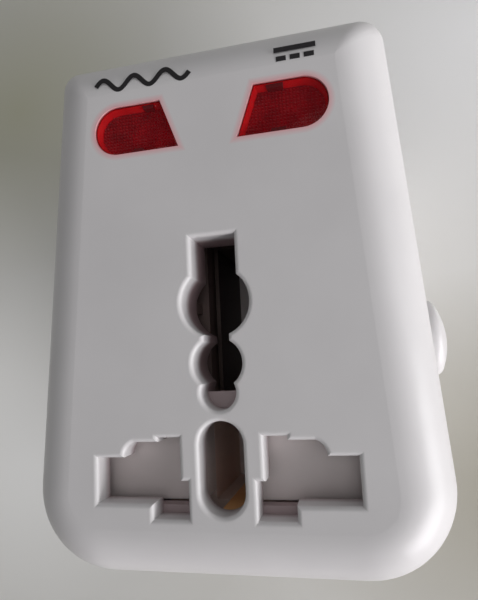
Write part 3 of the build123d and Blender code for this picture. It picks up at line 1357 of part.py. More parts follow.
with BuildPart() as charger_board:
    box_between(
        (-BOARD_HALF, LINE_Y + BOARD_LOW, BOARD_Z),
        (BOARD_HALF, LINE_Y + BOARD_HIGH, BOARD_Z + BOARD_T),
    )
charger_board.part.label = "charger_board"
export_step(charger_board.part, "parts/charger_board.step")

CORE_Z = BOARD_Z - CORE_HEIGHT
WINDOW_X = CORE_LEG / 2 + CORE_WINDOW / 2
with BuildPart() as transformer_core:
    with BuildSketch(Plane.XZ.offset(-LINE_Y - CORE_Y)):
        with Locations((0, CORE_Z + CORE_HEIGHT / 2)):
            Rectangle(CORE_WIDTH, CORE_HEIGHT)
        with Locations((WINDOW_X, CORE_Z + CORE_HEIGHT / 2), (-WINDOW_X, CORE_Z + CORE_HEIGHT / 2)):
            Rectangle(CORE_WINDOW, CORE_HEIGHT - 2 * CORE_YOKE, mode=Mode.SUBTRACT)
    extrude(amount=CORE_DEPTH / 2, both=True)
transformer_core.part.label = "transformer_core"
export_step(transformer_core.part, "parts/transformer_core.step")

with BuildPart() as transformer_coil:
    with BuildSketch(Plane.XY.offset(CORE_Z + CORE_YOKE + COIL_AIR)) as turns:
        with Locations((0, LINE_Y + CORE_Y)):
            Rectangle(CORE_LEG + 2 * CORE_WINDOW - 2 * COIL_AIR, COIL_DEPTH)
        fillet(turns.vertices(), CORNER_R)
        with Locations((0, LINE_Y + CORE_Y)):
            Rectangle(CORE_LEG + 2 * COIL_AIR, CORE_DEPTH + 2 * COIL_AIR, mode=Mode.SUBTRACT)
    extrude(amount=CORE_HEIGHT - 2 * CORE_YOKE - 2 * COIL_AIR)
transformer_coil.part.label = "transformer_coil"
export_step(transformer_coil.part, "parts/transformer_coil.step")

with BuildPart() as charger_capacitor:
    with BuildSketch(Plane.YZ.offset(-CAPACITOR_LENGTH / 2)):
        with Locations((LINE_Y + CAPACITOR_Y, BOARD_Z - CAPACITOR_R)):
            Circle(CAPACITOR_R)
    extrude(amount=CAPACITOR_LENGTH)
    fillet(charger_capacitor.edges(), RIM_R)
charger_capacitor.part.label = "charger_capacitor"
export_step(charger_capacitor.part, "parts/charger_capacitor.step")

with BuildPart() as charger_chip:
    with Locations((CHIP_X, LINE_Y + CHIP_Y, BOARD_Z)):
        Box(CHIP_WIDTH, CHIP_HEIGHT, CHIP_T, align=(Align.CENTER, Align.CENTER, Align.MAX))
    chamfer(charger_chip.edges().group_by(Axis.Z)[0], RIM_R)
charger_chip.part.label = "charger_chip"
export_step(charger_chip.part, "parts/charger_chip.step")
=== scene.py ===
import json
import math

import bmesh
import bpy
from mathutils import Matrix, Vector


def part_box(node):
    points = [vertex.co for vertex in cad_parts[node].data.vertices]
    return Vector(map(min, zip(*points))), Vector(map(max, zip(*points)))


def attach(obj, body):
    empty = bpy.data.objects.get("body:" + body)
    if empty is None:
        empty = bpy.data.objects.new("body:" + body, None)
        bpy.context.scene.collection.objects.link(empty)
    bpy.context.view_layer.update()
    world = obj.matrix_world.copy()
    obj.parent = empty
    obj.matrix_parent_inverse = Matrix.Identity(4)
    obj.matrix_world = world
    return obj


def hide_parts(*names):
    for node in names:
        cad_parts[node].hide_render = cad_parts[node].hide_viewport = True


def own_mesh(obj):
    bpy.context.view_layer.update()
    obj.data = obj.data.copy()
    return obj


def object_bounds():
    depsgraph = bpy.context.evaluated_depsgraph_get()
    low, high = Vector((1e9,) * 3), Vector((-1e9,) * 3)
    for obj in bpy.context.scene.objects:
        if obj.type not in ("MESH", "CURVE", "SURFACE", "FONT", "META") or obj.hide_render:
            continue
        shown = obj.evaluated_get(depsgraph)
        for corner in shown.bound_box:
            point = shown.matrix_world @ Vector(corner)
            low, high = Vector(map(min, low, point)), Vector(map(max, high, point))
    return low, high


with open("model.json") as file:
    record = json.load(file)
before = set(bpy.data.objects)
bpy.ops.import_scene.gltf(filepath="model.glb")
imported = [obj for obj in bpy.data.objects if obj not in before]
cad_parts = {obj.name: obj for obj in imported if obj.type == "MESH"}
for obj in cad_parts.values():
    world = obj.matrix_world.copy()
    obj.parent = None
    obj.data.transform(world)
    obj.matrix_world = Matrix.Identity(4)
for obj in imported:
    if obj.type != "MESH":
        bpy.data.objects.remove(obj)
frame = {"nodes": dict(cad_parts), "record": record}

cad_low, cad_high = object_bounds()

# A travel adapter on its back: X to the right, Y towards the lamps, Z out of the socket face.
# Sizes are in metres; those written in millimetres are multiplied by MM.
MM = 0.001
FACE_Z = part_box("front_shell")[1].z
LENS_LOW, LENS_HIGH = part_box("usb_lamp_lens")
LENS_FLANGE = 0.9 * MM
LENS_TOP_Z = LENS_HIGH.z

# The lamp window's outline, right of the middle
WINDOW_LOW_Y = LENS_LOW.y + LENS_FLANGE
WINDOW_HIGH_Y = LENS_HIGH.y - LENS_FLANGE
WINDOW_TIP_X = LENS_HIGH.x - LENS_FLANGE
WINDOW_INNER_TOP_X = 5.74 * MM
WINDOW_INNER_LOW_X = 3.55 * MM
WINDOW_RADIUS = (WINDOW_HIGH_Y - WINDOW_LOW_Y) / 2
WINDOW_MID_Y = (WINDOW_HIGH_Y + WINDOW_LOW_Y) / 2
WINDOW_SLANT = (WINDOW_INNER_TOP_X - WINDOW_INNER_LOW_X) / (2 * WINDOW_RADIUS)
ARC_STEPS = 32

# A painted red glow on the face close to the lenses: how far it reaches, its share of the face's
# colour, and the painted light it gives off
GLOW_REACH = 0.75 * MM
GLOW_SHARE = 0.45
GLOW_LIGHT = 0.05

# Painted shade: the slots' walls are painted browner between two depths, inside a square of the
# face
SHADE_START = 1.7 * MM
SHADE_END = 3.2 * MM
SHADE_SHARE = 0.8
SHADE_MIDDLE_Y = -9.0 * MM
SHADE_HALF = 18.0 * MM

# The lens: a clear red skin over a well with sloping walls and a prismatic floor
SKIN_AIR = 0.03 * MM
SKIN_T = 0.3 * MM
SKIN_RIM = 0.2 * MM
SKIN_RIM_STEPS = 4
SKIN_DENSITY = (0.18, 0.8)
SKIN_FADE = (-0.9 * SKIN_RIM, -0.3 * SKIN_RIM)
WELL_DEPTH = 1.0 * MM
WELL_TAPER = 0.35 * MM
WELL_FLOOR_T = 0.6 * MM
WELL_WALL = 0.12 * MM
PRISM_PITCH = 0.42 * MM
PRISM_HEIGHT = 0.26 * MM
NOTCH_LENGTH = 0.62 * MM
NOTCH_SLOPE = 0.15 * MM
NOTCH_HIGH_Y = WINDOW_HIGH_Y - SKIN_AIR
NOTCH_LOW_Y = WINDOW_LOW_Y + SKIN_AIR
WELL_TOP_Z = LENS_TOP_Z - SKIN_T
WELL_FLOOR_Z = WELL_TOP_Z - WELL_DEPTH

# Each lens: its side, its lamp, and the middle and width of its upper and lower notch
LENSES = [
    (-1, "ac", (7.4 * MM, 1.5 * MM), (8.8 * MM, 1.4 * MM)),
    (1, "usb", (8.2 * MM, 2.1 * MM), (8.4 * MM, 1.9 * MM)),
]

# Patterns that several finishes share: features to the metre, and how strong their bumps are
CLOUD_SCALE = 70
GLOSS_SCALE = 240
TARNISH_SCALE = 160
TINT_SCALE = 300
GRAIN_STRENGTH = 0.5
LINE_SCALE = 900
LINE_STRENGTH = 0.25
LINE_DEPTH = 0.02 * MM

# Where the carrier's and the earth contact's colours change to painted shade in the earth pocket,
# by their place along the object
CREAM_FADE = (-15 * MM, -11 * MM)
BRASS_FADE = (-22 * MM, -18 * MM)

# Angles in degrees past which an edge of a rounded piece stays sharp, and merging distances
ROUND_ANGLE = 40
WELL_ANGLE = 30
MERGE_DISTANCE = 1e-7
CUT_TOLERANCE = 1e-8


def srgb(red, green, blue):
    """A colour given as it looks on screen, 0 to 255, as the shader's linear values."""
    linear = []
    for value in (red, green, blue):
        share = value / 255
        linear.append(share / 12.92 if share <= 0.04045 else ((share + 0.055) / 1.055) ** 2.4)
    return (*linear, 1.0)


def new_material(name, roughness=0.4, metallic=0.0):
    """A material with its shader, and the object's own coordinates to place patterns by."""
    made = bpy.data.materials.new(name)
    made.use_nodes = True
    tree = made.node_tree
    shader = tree.nodes["Principled BSDF"]
    shader.inputs["Roughness"].default_value = roughness
    shader.inputs["Metallic"].default_value = metallic
    coords = tree.nodes.new("ShaderNodeTexCoord").outputs["Object"]
    return made, tree, shader, coords


def noise(tree, coords, scale, detail=3.0, stretch=None):
    """A noise pattern with this many features to the metre."""
    node = tree.nodes.new("ShaderNodeTexNoise")
    node.inputs["Scale"].default_value = scale
    node.inputs["Detail"].default_value = detail
    source = coords
    if stretch:
        mapping = tree.nodes.new("ShaderNodeMapping")
        mapping.inputs["Scale"].default_value = stretch
        tree.links.new(coords, mapping.inputs["Vector"])
        source = mapping.outputs["Vector"]
    tree.links.new(source, node.inputs["Vector"])
    return node.outputs["Fac"]


def ramp(tree, factor, low, high, start=0.3, end=0.7):
    """Colours that go from low to high as the factor goes from start to end."""
    node = tree.nodes.new("ShaderNodeValToRGB")
    node.color_ramp.elements[0].position = start
    node.color_ramp.elements[0].color = low
    node.color_ramp.elements[1].position = end
    node.color_ramp.elements[1].color = high
    tree.links.new(factor, node.inputs["Fac"])
    return node.outputs["Color"]


def spread(tree, factor, low, high, start=0.3, end=0.7):
    """A number that goes from low to high as the factor goes from start to end."""
    node = tree.nodes.new("ShaderNodeMapRange")
    limits = {"From Min": start, "From Max": end, "To Min": low, "To Max": high}
    for socket, value in limits.items():
        node.inputs[socket].default_value = value
    tree.links.new(factor, node.inputs["Value"])
    return node.outputs["Result"]


def add_bump(tree, shader, height, strength, distance):
    """Bumps on a shader, their depth given in metres."""
    node = tree.nodes.new("ShaderNodeBump")
    node.inputs["Strength"].default_value = strength
    node.inputs["Distance"].default_value = distance
    tree.links.new(height, node.inputs["Height"])
    tree.links.new(node.outputs["Normal"], shader.inputs["Normal"])


def plastic(name, dark, light, gloss, dull, grain, depth):
    """Moulded plastic: a faint cloudiness, uneven gloss and a fine skin."""
    made, tree, shader, coords = new_material(name)
    cloud = noise(tree, coords, CLOUD_SCALE)
    tree.links.new(ramp(tree, cloud, dark, light), shader.inputs["Base Color"])
    worn = noise(tree, coords, GLOSS_SCALE)
    tree.links.new(spread(tree, worn, gloss, dull), shader.inputs["Roughness"])
    add_bump(tree, shader, noise(tree, coords, grain, 2.0), GRAIN_STRENGTH, depth)
    return made


def metal(name, dark, light, gloss, dull, stretch):
    """Rolled or drawn metal, with fine lines along it and a slightly uneven tarnish."""
    made, tree, shader, coords = new_material(name, metallic=1.0)
    tarnish = noise(tree, coords, TARNISH_SCALE)
    tree.links.new(ramp(tree, tarnish, dark, light), shader.inputs["Base Color"])
    lines = noise(tree, coords, LINE_SCALE, 2.0, stretch)
    tree.links.new(spread(tree, lines, gloss, dull), shader.inputs["Roughness"])
    add_bump(tree, shader, lines, LINE_STRENGTH, LINE_DEPTH)
    return made


def mixed(tree, share, first, second):
    """Two colours, more of the second where the share is high; either may be a plain colour."""
    node = tree.nodes.new("ShaderNodeMix")
    node.data_type = "RGBA"
    tree.links.new(share, node.inputs["Factor"])
    for socket, colour in ((node.inputs["A"], first), (node.inputs["B"], second)):
        if isinstance(colour, tuple):
            socket.default_value = colour
        else:
            tree.links.new(colour, socket)
    return node.outputs["Result"]


def reckon(tree, operation, first, second=0.0):
    """One step of arithmetic on a pattern's numbers."""
    node = tree.nodes.new("ShaderNodeMath")
    node.operation = operation
    for socket, value in zip(node.inputs, (first, second)):
        if isinstance(value, float):
            socket.default_value = value
        else:
            tree.links.new(value, socket)
    return node.outputs["Value"]


def split_axes(tree, coords):
    """A point's X, Y and Z, each as a number of its own."""
    node = tree.nodes.new("ShaderNodeSeparateXYZ")
    tree.links.new(coords, node.inputs["Vector"])
    return [node.outputs[axis] for axis in "XYZ"]


def past_window(tree, coords):
    """How far a point of the face lies outside the nearer lamp window, in metres."""
    x, y, _ = split_axes(tree, coords)
    across = reckon(tree, "ABSOLUTE", x)
    rise = reckon(tree, "SUBTRACT", y, WINDOW_MID_Y)
    round_x = reckon(tree, "SUBTRACT", across, WINDOW_TIP_X - WINDOW_RADIUS)
    round_x = reckon(tree, "MAXIMUM", round_x, 0.0)
    squares = [reckon(tree, "MULTIPLY", leg, leg) for leg in (round_x, rise)]
    reach = reckon(tree, "SQRT", reckon(tree, "ADD", *squares))
    outer = reckon(tree, "SUBTRACT", reach, WINDOW_RADIUS)
    slant = reckon(tree, "MULTIPLY", rise, WINDOW_SLANT)
    inner_x = reckon(tree, "ADD", slant, (WINDOW_INNER_TOP_X + WINDOW_INNER_LOW_X) / 2)
    return reckon(tree, "MAXIMUM", outer, reckon(tree, "SUBTRACT", inner_x, across))


def glossy_white(name):
    """The housing's white plastic, and the parts of it that another finish builds on."""
    made, tree, shader, coords = new_material(name)
    cloud = noise(tree, coords, CLOUD_SCALE)
    white = ramp(tree, cloud, srgb(213, 211, 212), srgb(220, 218, 219))
    tree.links.new(white, shader.inputs["Base Color"])
    worn = noise(tree, coords, GLOSS_SCALE)
    tree.links.new(spread(tree, worn, 0.28, 0.36), shader.inputs["Roughness"])
    add_bump(tree, shader, noise(tree, coords, 2600, 2.0), GRAIN_STRENGTH, 0.006 * MM)
    return made, tree, shader, coords, white


def face_white():
    """The front shell's white, with a painted red glow close to the lenses and painted shade
    browning the slots' walls.
    """
    made, tree, shader, coords, white = glossy_white("face_white")
    # Painted red glow: the face is painted red near the lens windows
    near = spread(tree, past_window(tree, coords), GLOW_SHARE, 0.0, 0.0, GLOW_REACH)
    x, y, z = split_axes(tree, coords)
    # Painted shade: darker and browner deeper down the slots' walls
    deep = spread(tree, z, SHADE_SHARE, 0.0, FACE_Z - SHADE_END, FACE_Z - SHADE_START)
    across = reckon(tree, "ABSOLUTE", x)
    along = reckon(tree, "ABSOLUTE", reckon(tree, "SUBTRACT", y, SHADE_MIDDLE_Y))
    away = reckon(tree, "MAXIMUM", across, along)
    shade = reckon(tree, "MULTIPLY", deep, reckon(tree, "LESS_THAN", away, SHADE_HALF))
    tone = mixed(tree, shade, white, srgb(142, 110, 113))
    tree.links.new(mixed(tree, near, tone, srgb(232, 96, 108)), shader.inputs["Base Color"])
    # The painted glow also gives off light of its own, though the face is no lamp
    shader.inputs["Emission Color"].default_value = srgb(255, 190, 200)
    lit = reckon(tree, "MULTIPLY", near, GLOW_LIGHT)
    tree.links.new(lit, shader.inputs["Emission Strength"])
    return made


HOUSING = glossy_white("housing_white")[0]
FACE_WHITE = face_white()
INNER_WHITE = plastic(
    "inner_white", srgb(220, 210, 209), srgb(230, 221, 220), 0.42, 0.52, 3000, 0.012 * MM
)
BLACK = plastic("black_plastic", srgb(20, 20, 21), srgb(30, 30, 31), 0.38, 0.5, 3200, 0.012 * MM)
BRASS = metal("brass", srgb(184, 118, 62), srgb(222, 158, 96), 0.3, 0.42, (1, 1, 0.08))
NICKEL = metal("nickel_plate", srgb(186, 182, 174), srgb(214, 211, 204), 0.16, 0.26, (1, 1, 0.06))
STEEL = metal("zinc_steel", srgb(168, 168, 170), srgb(200, 200, 203), 0.22, 0.34, (1, 1, 0.1))
COPPER = metal("copper_wire", srgb(150, 70, 32), srgb(190, 98, 52), 0.28, 0.4, (0.1, 0.1, 1))
FERRITE = plastic("ferrite", srgb(38, 38, 41), srgb(58, 58, 60), 0.5, 0.7, 1800, 0.03 * MM)
LAMINATE = plastic(
    "board_laminate", srgb(22, 82, 40), srgb(34, 104, 54), 0.3, 0.42, 1500, 0.02 * MM
)
INK = plastic("printing_ink", srgb(16, 13, 16), srgb(26, 22, 26), 0.5, 0.65, 3000, 0.01 * MM)


def red_plastic(name, dark, light, roughness):
    """Red lens plastic seen from inside, deeper in some places than others."""
    made, tree, shader, coords = new_material(name, roughness)
    tree.links.new(ramp(tree, noise(tree, coords, 500), dark, light), shader.inputs["Base Color"])
    add_bump(tree, shader, noise(tree, coords, 2200, 2.0), 0.3, 0.01 * MM)
    return made


# The walls are painted a lighter red than the floor: painted light in the lens's side walls,
# which are the same red plastic
LENS_WALL = red_plastic("lens_wall", srgb(216, 12, 22), srgb(238, 32, 34), 0.25)
LENS_FLOOR = red_plastic("lens_floor", srgb(100, 3, 12), srgb(176, 17, 28), 0.35)
# The notch blocks are a near-black red: painted shade in the lens's notches
LENS_NOTCH = red_plastic("lens_notch", srgb(26, 1, 3), srgb(40, 2, 5), 0.6)


def clear_skin():
    """The lens's clear red surface, denser along its rim."""
    made, tree, shader, coords = new_material("lens_skin", 0.06)
    rim = spread(tree, past_window(tree, coords), *SKIN_DENSITY, *SKIN_FADE)
    tree.links.new(rim, shader.inputs["Alpha"])
    shader.inputs["IOR"].default_value = 1.5
    tint = ramp(tree, noise(tree, coords, TINT_SCALE), srgb(150, 8, 22), srgb(180, 14, 30))
    tree.links.new(tint, shader.inputs["Base Color"])
    add_bump(tree, shader, noise(tree, coords, 420), 0.2, 0.01 * MM)
    return made


LENS_SKIN = clear_skin()


def glass():
    """The fuse's clear tube."""
    made, tree, shader, coords = new_material("fuse_glass", 0.05)
    shader.inputs["Alpha"].default_value = 0.3
    tint = ramp(tree, noise(tree, coords, TINT_SCALE), srgb(214, 228, 222), srgb(226, 238, 232))
    tree.links.new(tint, shader.inputs["Base Color"])
    return made


GLASS = glass()


def along_carrier(tree, coords, start, end):
    """0 up to the start, on the oval's side, and 1 from the end on, in the earth pocket."""
    return spread(tree, split_axes(tree, coords)[1], 0.0, 1.0, start, end)


def socket_cream():
    """The carrier's cream plastic, painted brown in the earth pocket as painted shade."""
    made, tree, shader, coords = new_material("socket_cream", 0.5)
    cloud = noise(tree, coords, CLOUD_SCALE)
    cream = ramp(tree, cloud, srgb(232, 208, 198), srgb(242, 218, 208))
    up = along_carrier(tree, coords, *CREAM_FADE)
    # Painted shade: the carrier turns brown inside the deep earth pocket
    tree.links.new(mixed(tree, up, cream, srgb(130, 110, 106)), shader.inputs["Base Color"])
    add_bump(tree, shader, noise(tree, coords, 2800, 2.0), GRAIN_STRENGTH, 0.012 * MM)
    return made


def earth_brass():
    """The earth contact's brass: clean and matt by the oval, and darker and browner in the pocket
    as painted shade.
    """
    made, tree, shader, coords = new_material("earth_brass", 0.5)
    tarnish = noise(tree, coords, TARNISH_SCALE)
    clean = ramp(tree, tarnish, srgb(232, 168, 104), srgb(246, 190, 128))
    up = along_carrier(tree, coords, *BRASS_FADE)
    # Painted shade: the brass turns dark brown inside the deep earth pocket
    tree.links.new(mixed(tree, up, clean, srgb(66, 51, 47)), shader.inputs["Base Color"])
    tree.links.new(spread(tree, up, 0.15, 0.3, 0.0, 1.0), shader.inputs["Metallic"])
    lines = noise(tree, coords, LINE_SCALE, 2.0, (1, 1, 0.08))
    add_bump(tree, shader, lines, LINE_STRENGTH, LINE_DEPTH)
    return made


CARRIER_CREAM = socket_cream()
EARTH_BRASS = earth_brass()

# The finish of each of the record's material slots, and of the three nodes that have their own
FINISHES = {
    "housing_plastic": HOUSING,
    "inner_plastic": INNER_WHITE,
    "lens_plastic": LENS_WALL,
    "black_plastic": BLACK,
    "contact_brass": BRASS,
    "plated_brass": NICKEL,
    "steel": STEEL,
    "board_laminate": LAMINATE,
    "ferrite": FERRITE,
    "copper_wire": COPPER,
    "fuse_glass": GLASS,
}
for part in frame["record"]["subparts"]:
    node = frame["nodes"][part["node"]]
    for slot in node.material_slots:
        slot.material = FINISHES[part["material_slot"]]
for name, finish in (
    ("front_shell", FACE_WHITE),
    ("contact_carrier", CARRIER_CREAM),
    ("earth_contact", EARTH_BRASS),
):
    for slot in frame["nodes"][name].material_slots:
        slot.material = finish


def window_outline(side, grow):
    """Corners of one lamp window's outline, counter-clockwise, grown outwards by a margin."""
    reach = grow * math.sqrt(1 + WINDOW_SLANT * WINDOW_SLANT)
    radius = WINDOW_RADIUS + grow
    points = []
    for step in range(ARC_STEPS + 1):
        turn = math.pi * (step / ARC_STEPS - 0.5)
        x = WINDOW_TIP_X - WINDOW_RADIUS + radius * math.cos(turn)
        points.append((x, WINDOW_MID_Y + radius * math.sin(turn)))
    for y in (radius, -radius):
        x = WINDOW_INNER_LOW_X + WINDOW_SLANT * (y + WINDOW_RADIUS) - reach
        points.append((x, WINDOW_MID_Y + y))
    if side > 0:
        return points
    return [(-x, y) for x, y in reversed(points)]


def finish_mesh(name, bm, material, smooth_angle=None):
    """Turns edited geometry into an object with its material."""
    bmesh.ops.remove_doubles(bm, verts=bm.verts, dist=MERGE_DISTANCE)
    bmesh.ops.recalc_face_normals(bm, faces=bm.faces)
    mesh = bpy.data.meshes.new(name)
    bm.to_mesh(mesh)
    bm.free()
    made = bpy.data.objects.new(name, mesh)
    bpy.context.scene.collection.objects.link(made)
    mesh.materials.append(material)
    if smooth_angle is not None:
        mesh.shade_smooth()
        mesh.set_sharp_from_angle(angle=math.radians(smooth_angle))
    return made


def stack(name, loops, material, smooth_angle=None):
    """A closed solid through a list of loops, each of the same number of corners."""
    bm = bmesh.new()
    rings = [[bm.verts.new(corner) for corner in loop] for loop in loops]
    for ring, following in zip(rings, rings[1:]):
        for i in range(len(ring)):
            j = (i + 1) % len(ring)
            bm.faces.new((ring[i], ring[j], following[j], following[i]))
    bm.faces.new(list(reversed(rings[0])))
    bm.faces.new(rings[-1])
    return finish_mesh(name, bm, material, smooth_angle)


def level(points, z):
    """The corners of an outline at one height."""
    return [(x, y, z) for x, y in points]


def lens_skin(side, name):
    """The lens's surface, flush in its window, with a small rounded rim."""
    loops = [level(window_outline(side, -SKIN_AIR), WELL_TOP_Z)]
    for step in range(SKIN_RIM_STEPS + 1):
        turn = math.radians(90 * step / SKIN_RIM_STEPS)
        grow = -SKIN_AIR - SKIN_RIM * (1 - math.cos(turn))
        z = LENS_TOP_Z - SKIN_RIM * (1 - math.sin(turn))
        loops.append(level(window_outline(side, grow), z))
    return stack(name, loops, LENS_SKIN, ROUND_ANGLE)


def lens_well(side, name):
    """The tray under the skin, open at its top."""
    outer = -SKIN_AIR
    inner = outer - WELL_WALL
    loops = [
        level(window_outline(side, outer), WELL_FLOOR_Z - WELL_FLOOR_T),
        level(window_outline(side, outer), WELL_TOP_Z),
        level(window_outline(side, inner), WELL_TOP_Z),
        level(window_outline(side, inner - WELL_TAPER), WELL_FLOOR_Z),
    ]
    return stack(name, loops, LENS_WALL, WELL_ANGLE)


def lens_prisms(side, name):
    """The lens's prismatic floor: rows of small pyramids, cut to the window's outline."""
    outline = window_outline(side, -SKIN_AIR - WELL_WALL - WELL_TAPER)
    xs = [x for x, _ in outline]
    ys = [y for _, y in outline]
    columns = math.ceil((max(xs) - min(xs)) / PRISM_PITCH)
    rows = math.ceil((max(ys) - min(ys)) / PRISM_PITCH)
    bm = bmesh.new()
    grid = [
        [
            bm.verts.new(
                (min(xs) + column * PRISM_PITCH, min(ys) + row * PRISM_PITCH, WELL_FLOOR_Z)
            )
            for column in range(columns + 1)
        ]
        for row in range(rows + 1)
    ]
    for row in range(rows):
        for column in range(columns):
            corners = [
                grid[row][column],
                grid[row][column + 1],
                grid[row + 1][column + 1],
                grid[row + 1][column],
            ]
            middle = sum((v.co for v in corners), Vector()) / 4
            tip = bm.verts.new(middle + Vector((0, 0, PRISM_HEIGHT)))
            for i in range(4):
                bm.faces.new((corners[i], corners[(i + 1) % 4], tip))
    for i, (x, y) in enumerate(outline):
        next_x, next_y = outline[(i + 1) % len(outline)]
        outward = Vector((next_y - y, x - next_x, 0))
        bmesh.ops.bisect_plane(
            bm,
            geom=bm.verts[:] + bm.edges[:] + bm.faces[:],
            plane_co=(x, y, 0),
            plane_no=outward.normalized(),
            clear_outer=True,
            dist=CUT_TOLERANCE,
        )
    rim = [edge for edge in bm.edges if edge.is_boundary]
    lowered = bmesh.ops.extrude_edge_only(bm, edges=rim)["geom"]
    for vert in lowered:
        if isinstance(vert, bmesh.types.BMVert):
            vert.co.z = WELL_FLOOR_Z - WELL_FLOOR_T / 2
    bmesh.ops.holes_fill(bm, edges=[edge for edge in bm.edges if edge.is_boundary])
    return finish_mesh(name, bm, LENS_FLOOR)


def lens_notch(name, middle_x, width, edge_y):
    """A small dark block at the well's edge, where the lens is clipped in: painted shade of the
    notch there.
    """
    inward = -1 if edge_y > WINDOW_MID_Y else 1
    half = width / 2
    far = inward * NOTCH_LENGTH
    corners = [(-half, 0), (half, 0), (half - NOTCH_SLOPE, far), (NOTCH_SLOPE - half, far)]
    if inward < 0:
        corners.reverse()
    plan = [(middle_x + dx, edge_y + dy) for dx, dy in corners]
    return stack(
        name, [level(plan, WELL_FLOOR_Z), level(plan, WELL_TOP_Z - SKIN_AIR)], LENS_NOTCH
    )


for side, lamp, (top_x, top_width), (low_x, low_width) in LENSES:
    pieces = [
        lens_skin(side, lamp + "_lens_skin"),
        lens_well(side, lamp + "_lens_well"),
        lens_prisms(side, lamp + "_lens_floor"),
        lens_notch(lamp + "_lens_notch_top", side * top_x, top_width, NOTCH_HIGH_Y),
        lens_notch(lamp + "_lens_notch_low", side * low_x, low_width, NOTCH_LOW_Y),
    ]
    for piece in pieces:
        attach(piece, "housing")
        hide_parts(lamp + "_lamp_lens")

# The sleeve that carries the earth slot's walls on below the face. Heights are above the line
# through the live and neutral slots; the circles are given by their middle and their radius.
SLOT_LINE_Y = -20.5 * MM
EARTH_HALF = 2.59 * MM
EARTH_TOP = 27.07 * MM
EARTH_CIRCLES = [(19.46 * MM, 3.95 * MM), (12.57 * MM, 2.82 * MM), (9.37 * MM, 1.97 * MM)]
EARTH_NECK = 1.45 * MM
SLEEVE_START = 3.0 * MM
SLEEVE_DEPTH = 3.0 * MM
SLEEVE_T = 0.35 * MM
SLEEVE_STEPS = 160


def earth_half(rise):
    """Half the earth slot's width at a height above the live and neutral slots' line."""
    reach = 0.0
    if EARTH_CIRCLES[0][0] <= rise <= EARTH_TOP:
        reach = EARTH_HALF
    if EARTH_CIRCLES[-1][0] <= rise <= EARTH_CIRCLES[0][0]:
        reach = EARTH_NECK
    for middle_y, radius in EARTH_CIRCLES:
        off = rise - middle_y
        if abs(off) < radius:
            reach = max(reach, math.sqrt(radius * radius - off * off))
    return reach


def earth_sleeve():
    """A thin wall around the earth slot, under the face."""
    low_y = EARTH_CIRCLES[-1][0] - EARTH_CIRCLES[-1][1]
    top = FACE_Z - SLEEVE_START
    rows = []
    bm = bmesh.new()
    for step in range(SLEEVE_STEPS + 1):
        rise = low_y + (EARTH_TOP - low_y) * step / SLEEVE_STEPS
        near = earth_half(rise)
        y = SLOT_LINE_Y + rise
        rows.append(
            [
                bm.verts.new((x, y, z))
                for x in (near, near + SLEEVE_T)
                for z in (top, top - SLEEVE_DEPTH)
            ]
        )
    for row, following in zip(rows, rows[1:]):
        for i, j in ((0, 2), (2, 3), (3, 1), (1, 0)):
            bm.faces.new((row[i], row[j], following[j], following[i]))
    for row in (rows[0], rows[-1]):
        bm.faces.new([row[i] for i in (0, 2, 3, 1)])
    mirrored = bmesh.ops.duplicate(bm, geom=bm.verts[:] + bm.edges[:] + bm.faces[:])["geom"]
    for part in mirrored:
        if isinstance(part, bmesh.types.BMVert):
            part.co.x = -part.co.x
    for vert in bmesh.ops.create_cube(bm, size=1.0)["verts"]:
        vert.co.x *= 2 * (EARTH_HALF + SLEEVE_T)
        vert.co.y = SLOT_LINE_Y + EARTH_TOP + (vert.co.y + 0.5) * SLEEVE_T
        vert.co.z = top + (vert.co.z - 0.5) * SLEEVE_DEPTH
    return finish_mesh("earth_slot_sleeve", bm, FACE_WHITE, ROUND_ANGLE)


sleeve = earth_sleeve()
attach(sleeve, "housing")

# The shutters' springs, each copied with a mesh of its own and carried by the housing in place of
# the model's spring
for name in ("live_shutter", "neutral_shutter"):
    coil = frame["nodes"][name + "_spring"]
    spring = coil.copy()
    spring.data = coil.data.copy()
    spring.name = name + "_coil"
    spring.parent = None
    bpy.context.scene.collection.objects.link(spring)
    spring.matrix_world = coil.matrix_world.copy()
    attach(spring, "housing")
    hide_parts(name + "_spring")
    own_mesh(spring)

# Printed marks above the lamps: a wave for alternating and a bar over dashes for direct current
INK_T = 0.02 * MM
MARK_LINE = 0.6 * MM
MARK_RISE = 3.0 * MM
MARK_Y = WINDOW_HIGH_Y + MARK_RISE
WAVE_X = -7.95 * MM
WAVE_LENGTH = 12.2 * MM
WAVE_HEIGHT = 0.75 * MM
WAVE_COUNT = 3
WAVE_STEPS = 96
BAR_X = 10.8 * MM
BAR_LENGTH = 4.8 * MM
BAR_RISE = 0.55 * MM
DASHES = 3
DASH_START = 0.14
DASH_SHARE = 0.72


def ink_stroke(name, line):
    """A printed stroke along a line of points, as wide as the marks' line."""
    bm = bmesh.new()
    rows = []
    for i, (x, y) in enumerate(line):
        before = line[max(i - 1, 0)]
        after = line[min(i + 1, len(line) - 1)]
        way = Vector((after[0] - before[0], after[1] - before[1])).normalized()
        across = Vector((-way.y, way.x)) * MARK_LINE / 2
        place = Vector((x, y))
        left, right = place + across, place - across
        rows.append(
            [
                bm.verts.new((*left, FACE_Z - INK_T)),
                bm.verts.new((*left, FACE_Z + INK_T)),
                bm.verts.new((*right, FACE_Z + INK_T)),
                bm.verts.new((*right, FACE_Z - INK_T)),
            ]
        )
    for row, following in zip(rows, rows[1:]):
        for i in range(4):
            j = (i + 1) % 4
            bm.faces.new((row[i], row[j], following[j], following[i]))
    bm.faces.new(list(reversed(rows[0])))
    bm.faces.new(rows[-1])
    stroke = finish_mesh(name, bm, INK)
    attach(stroke, "housing")


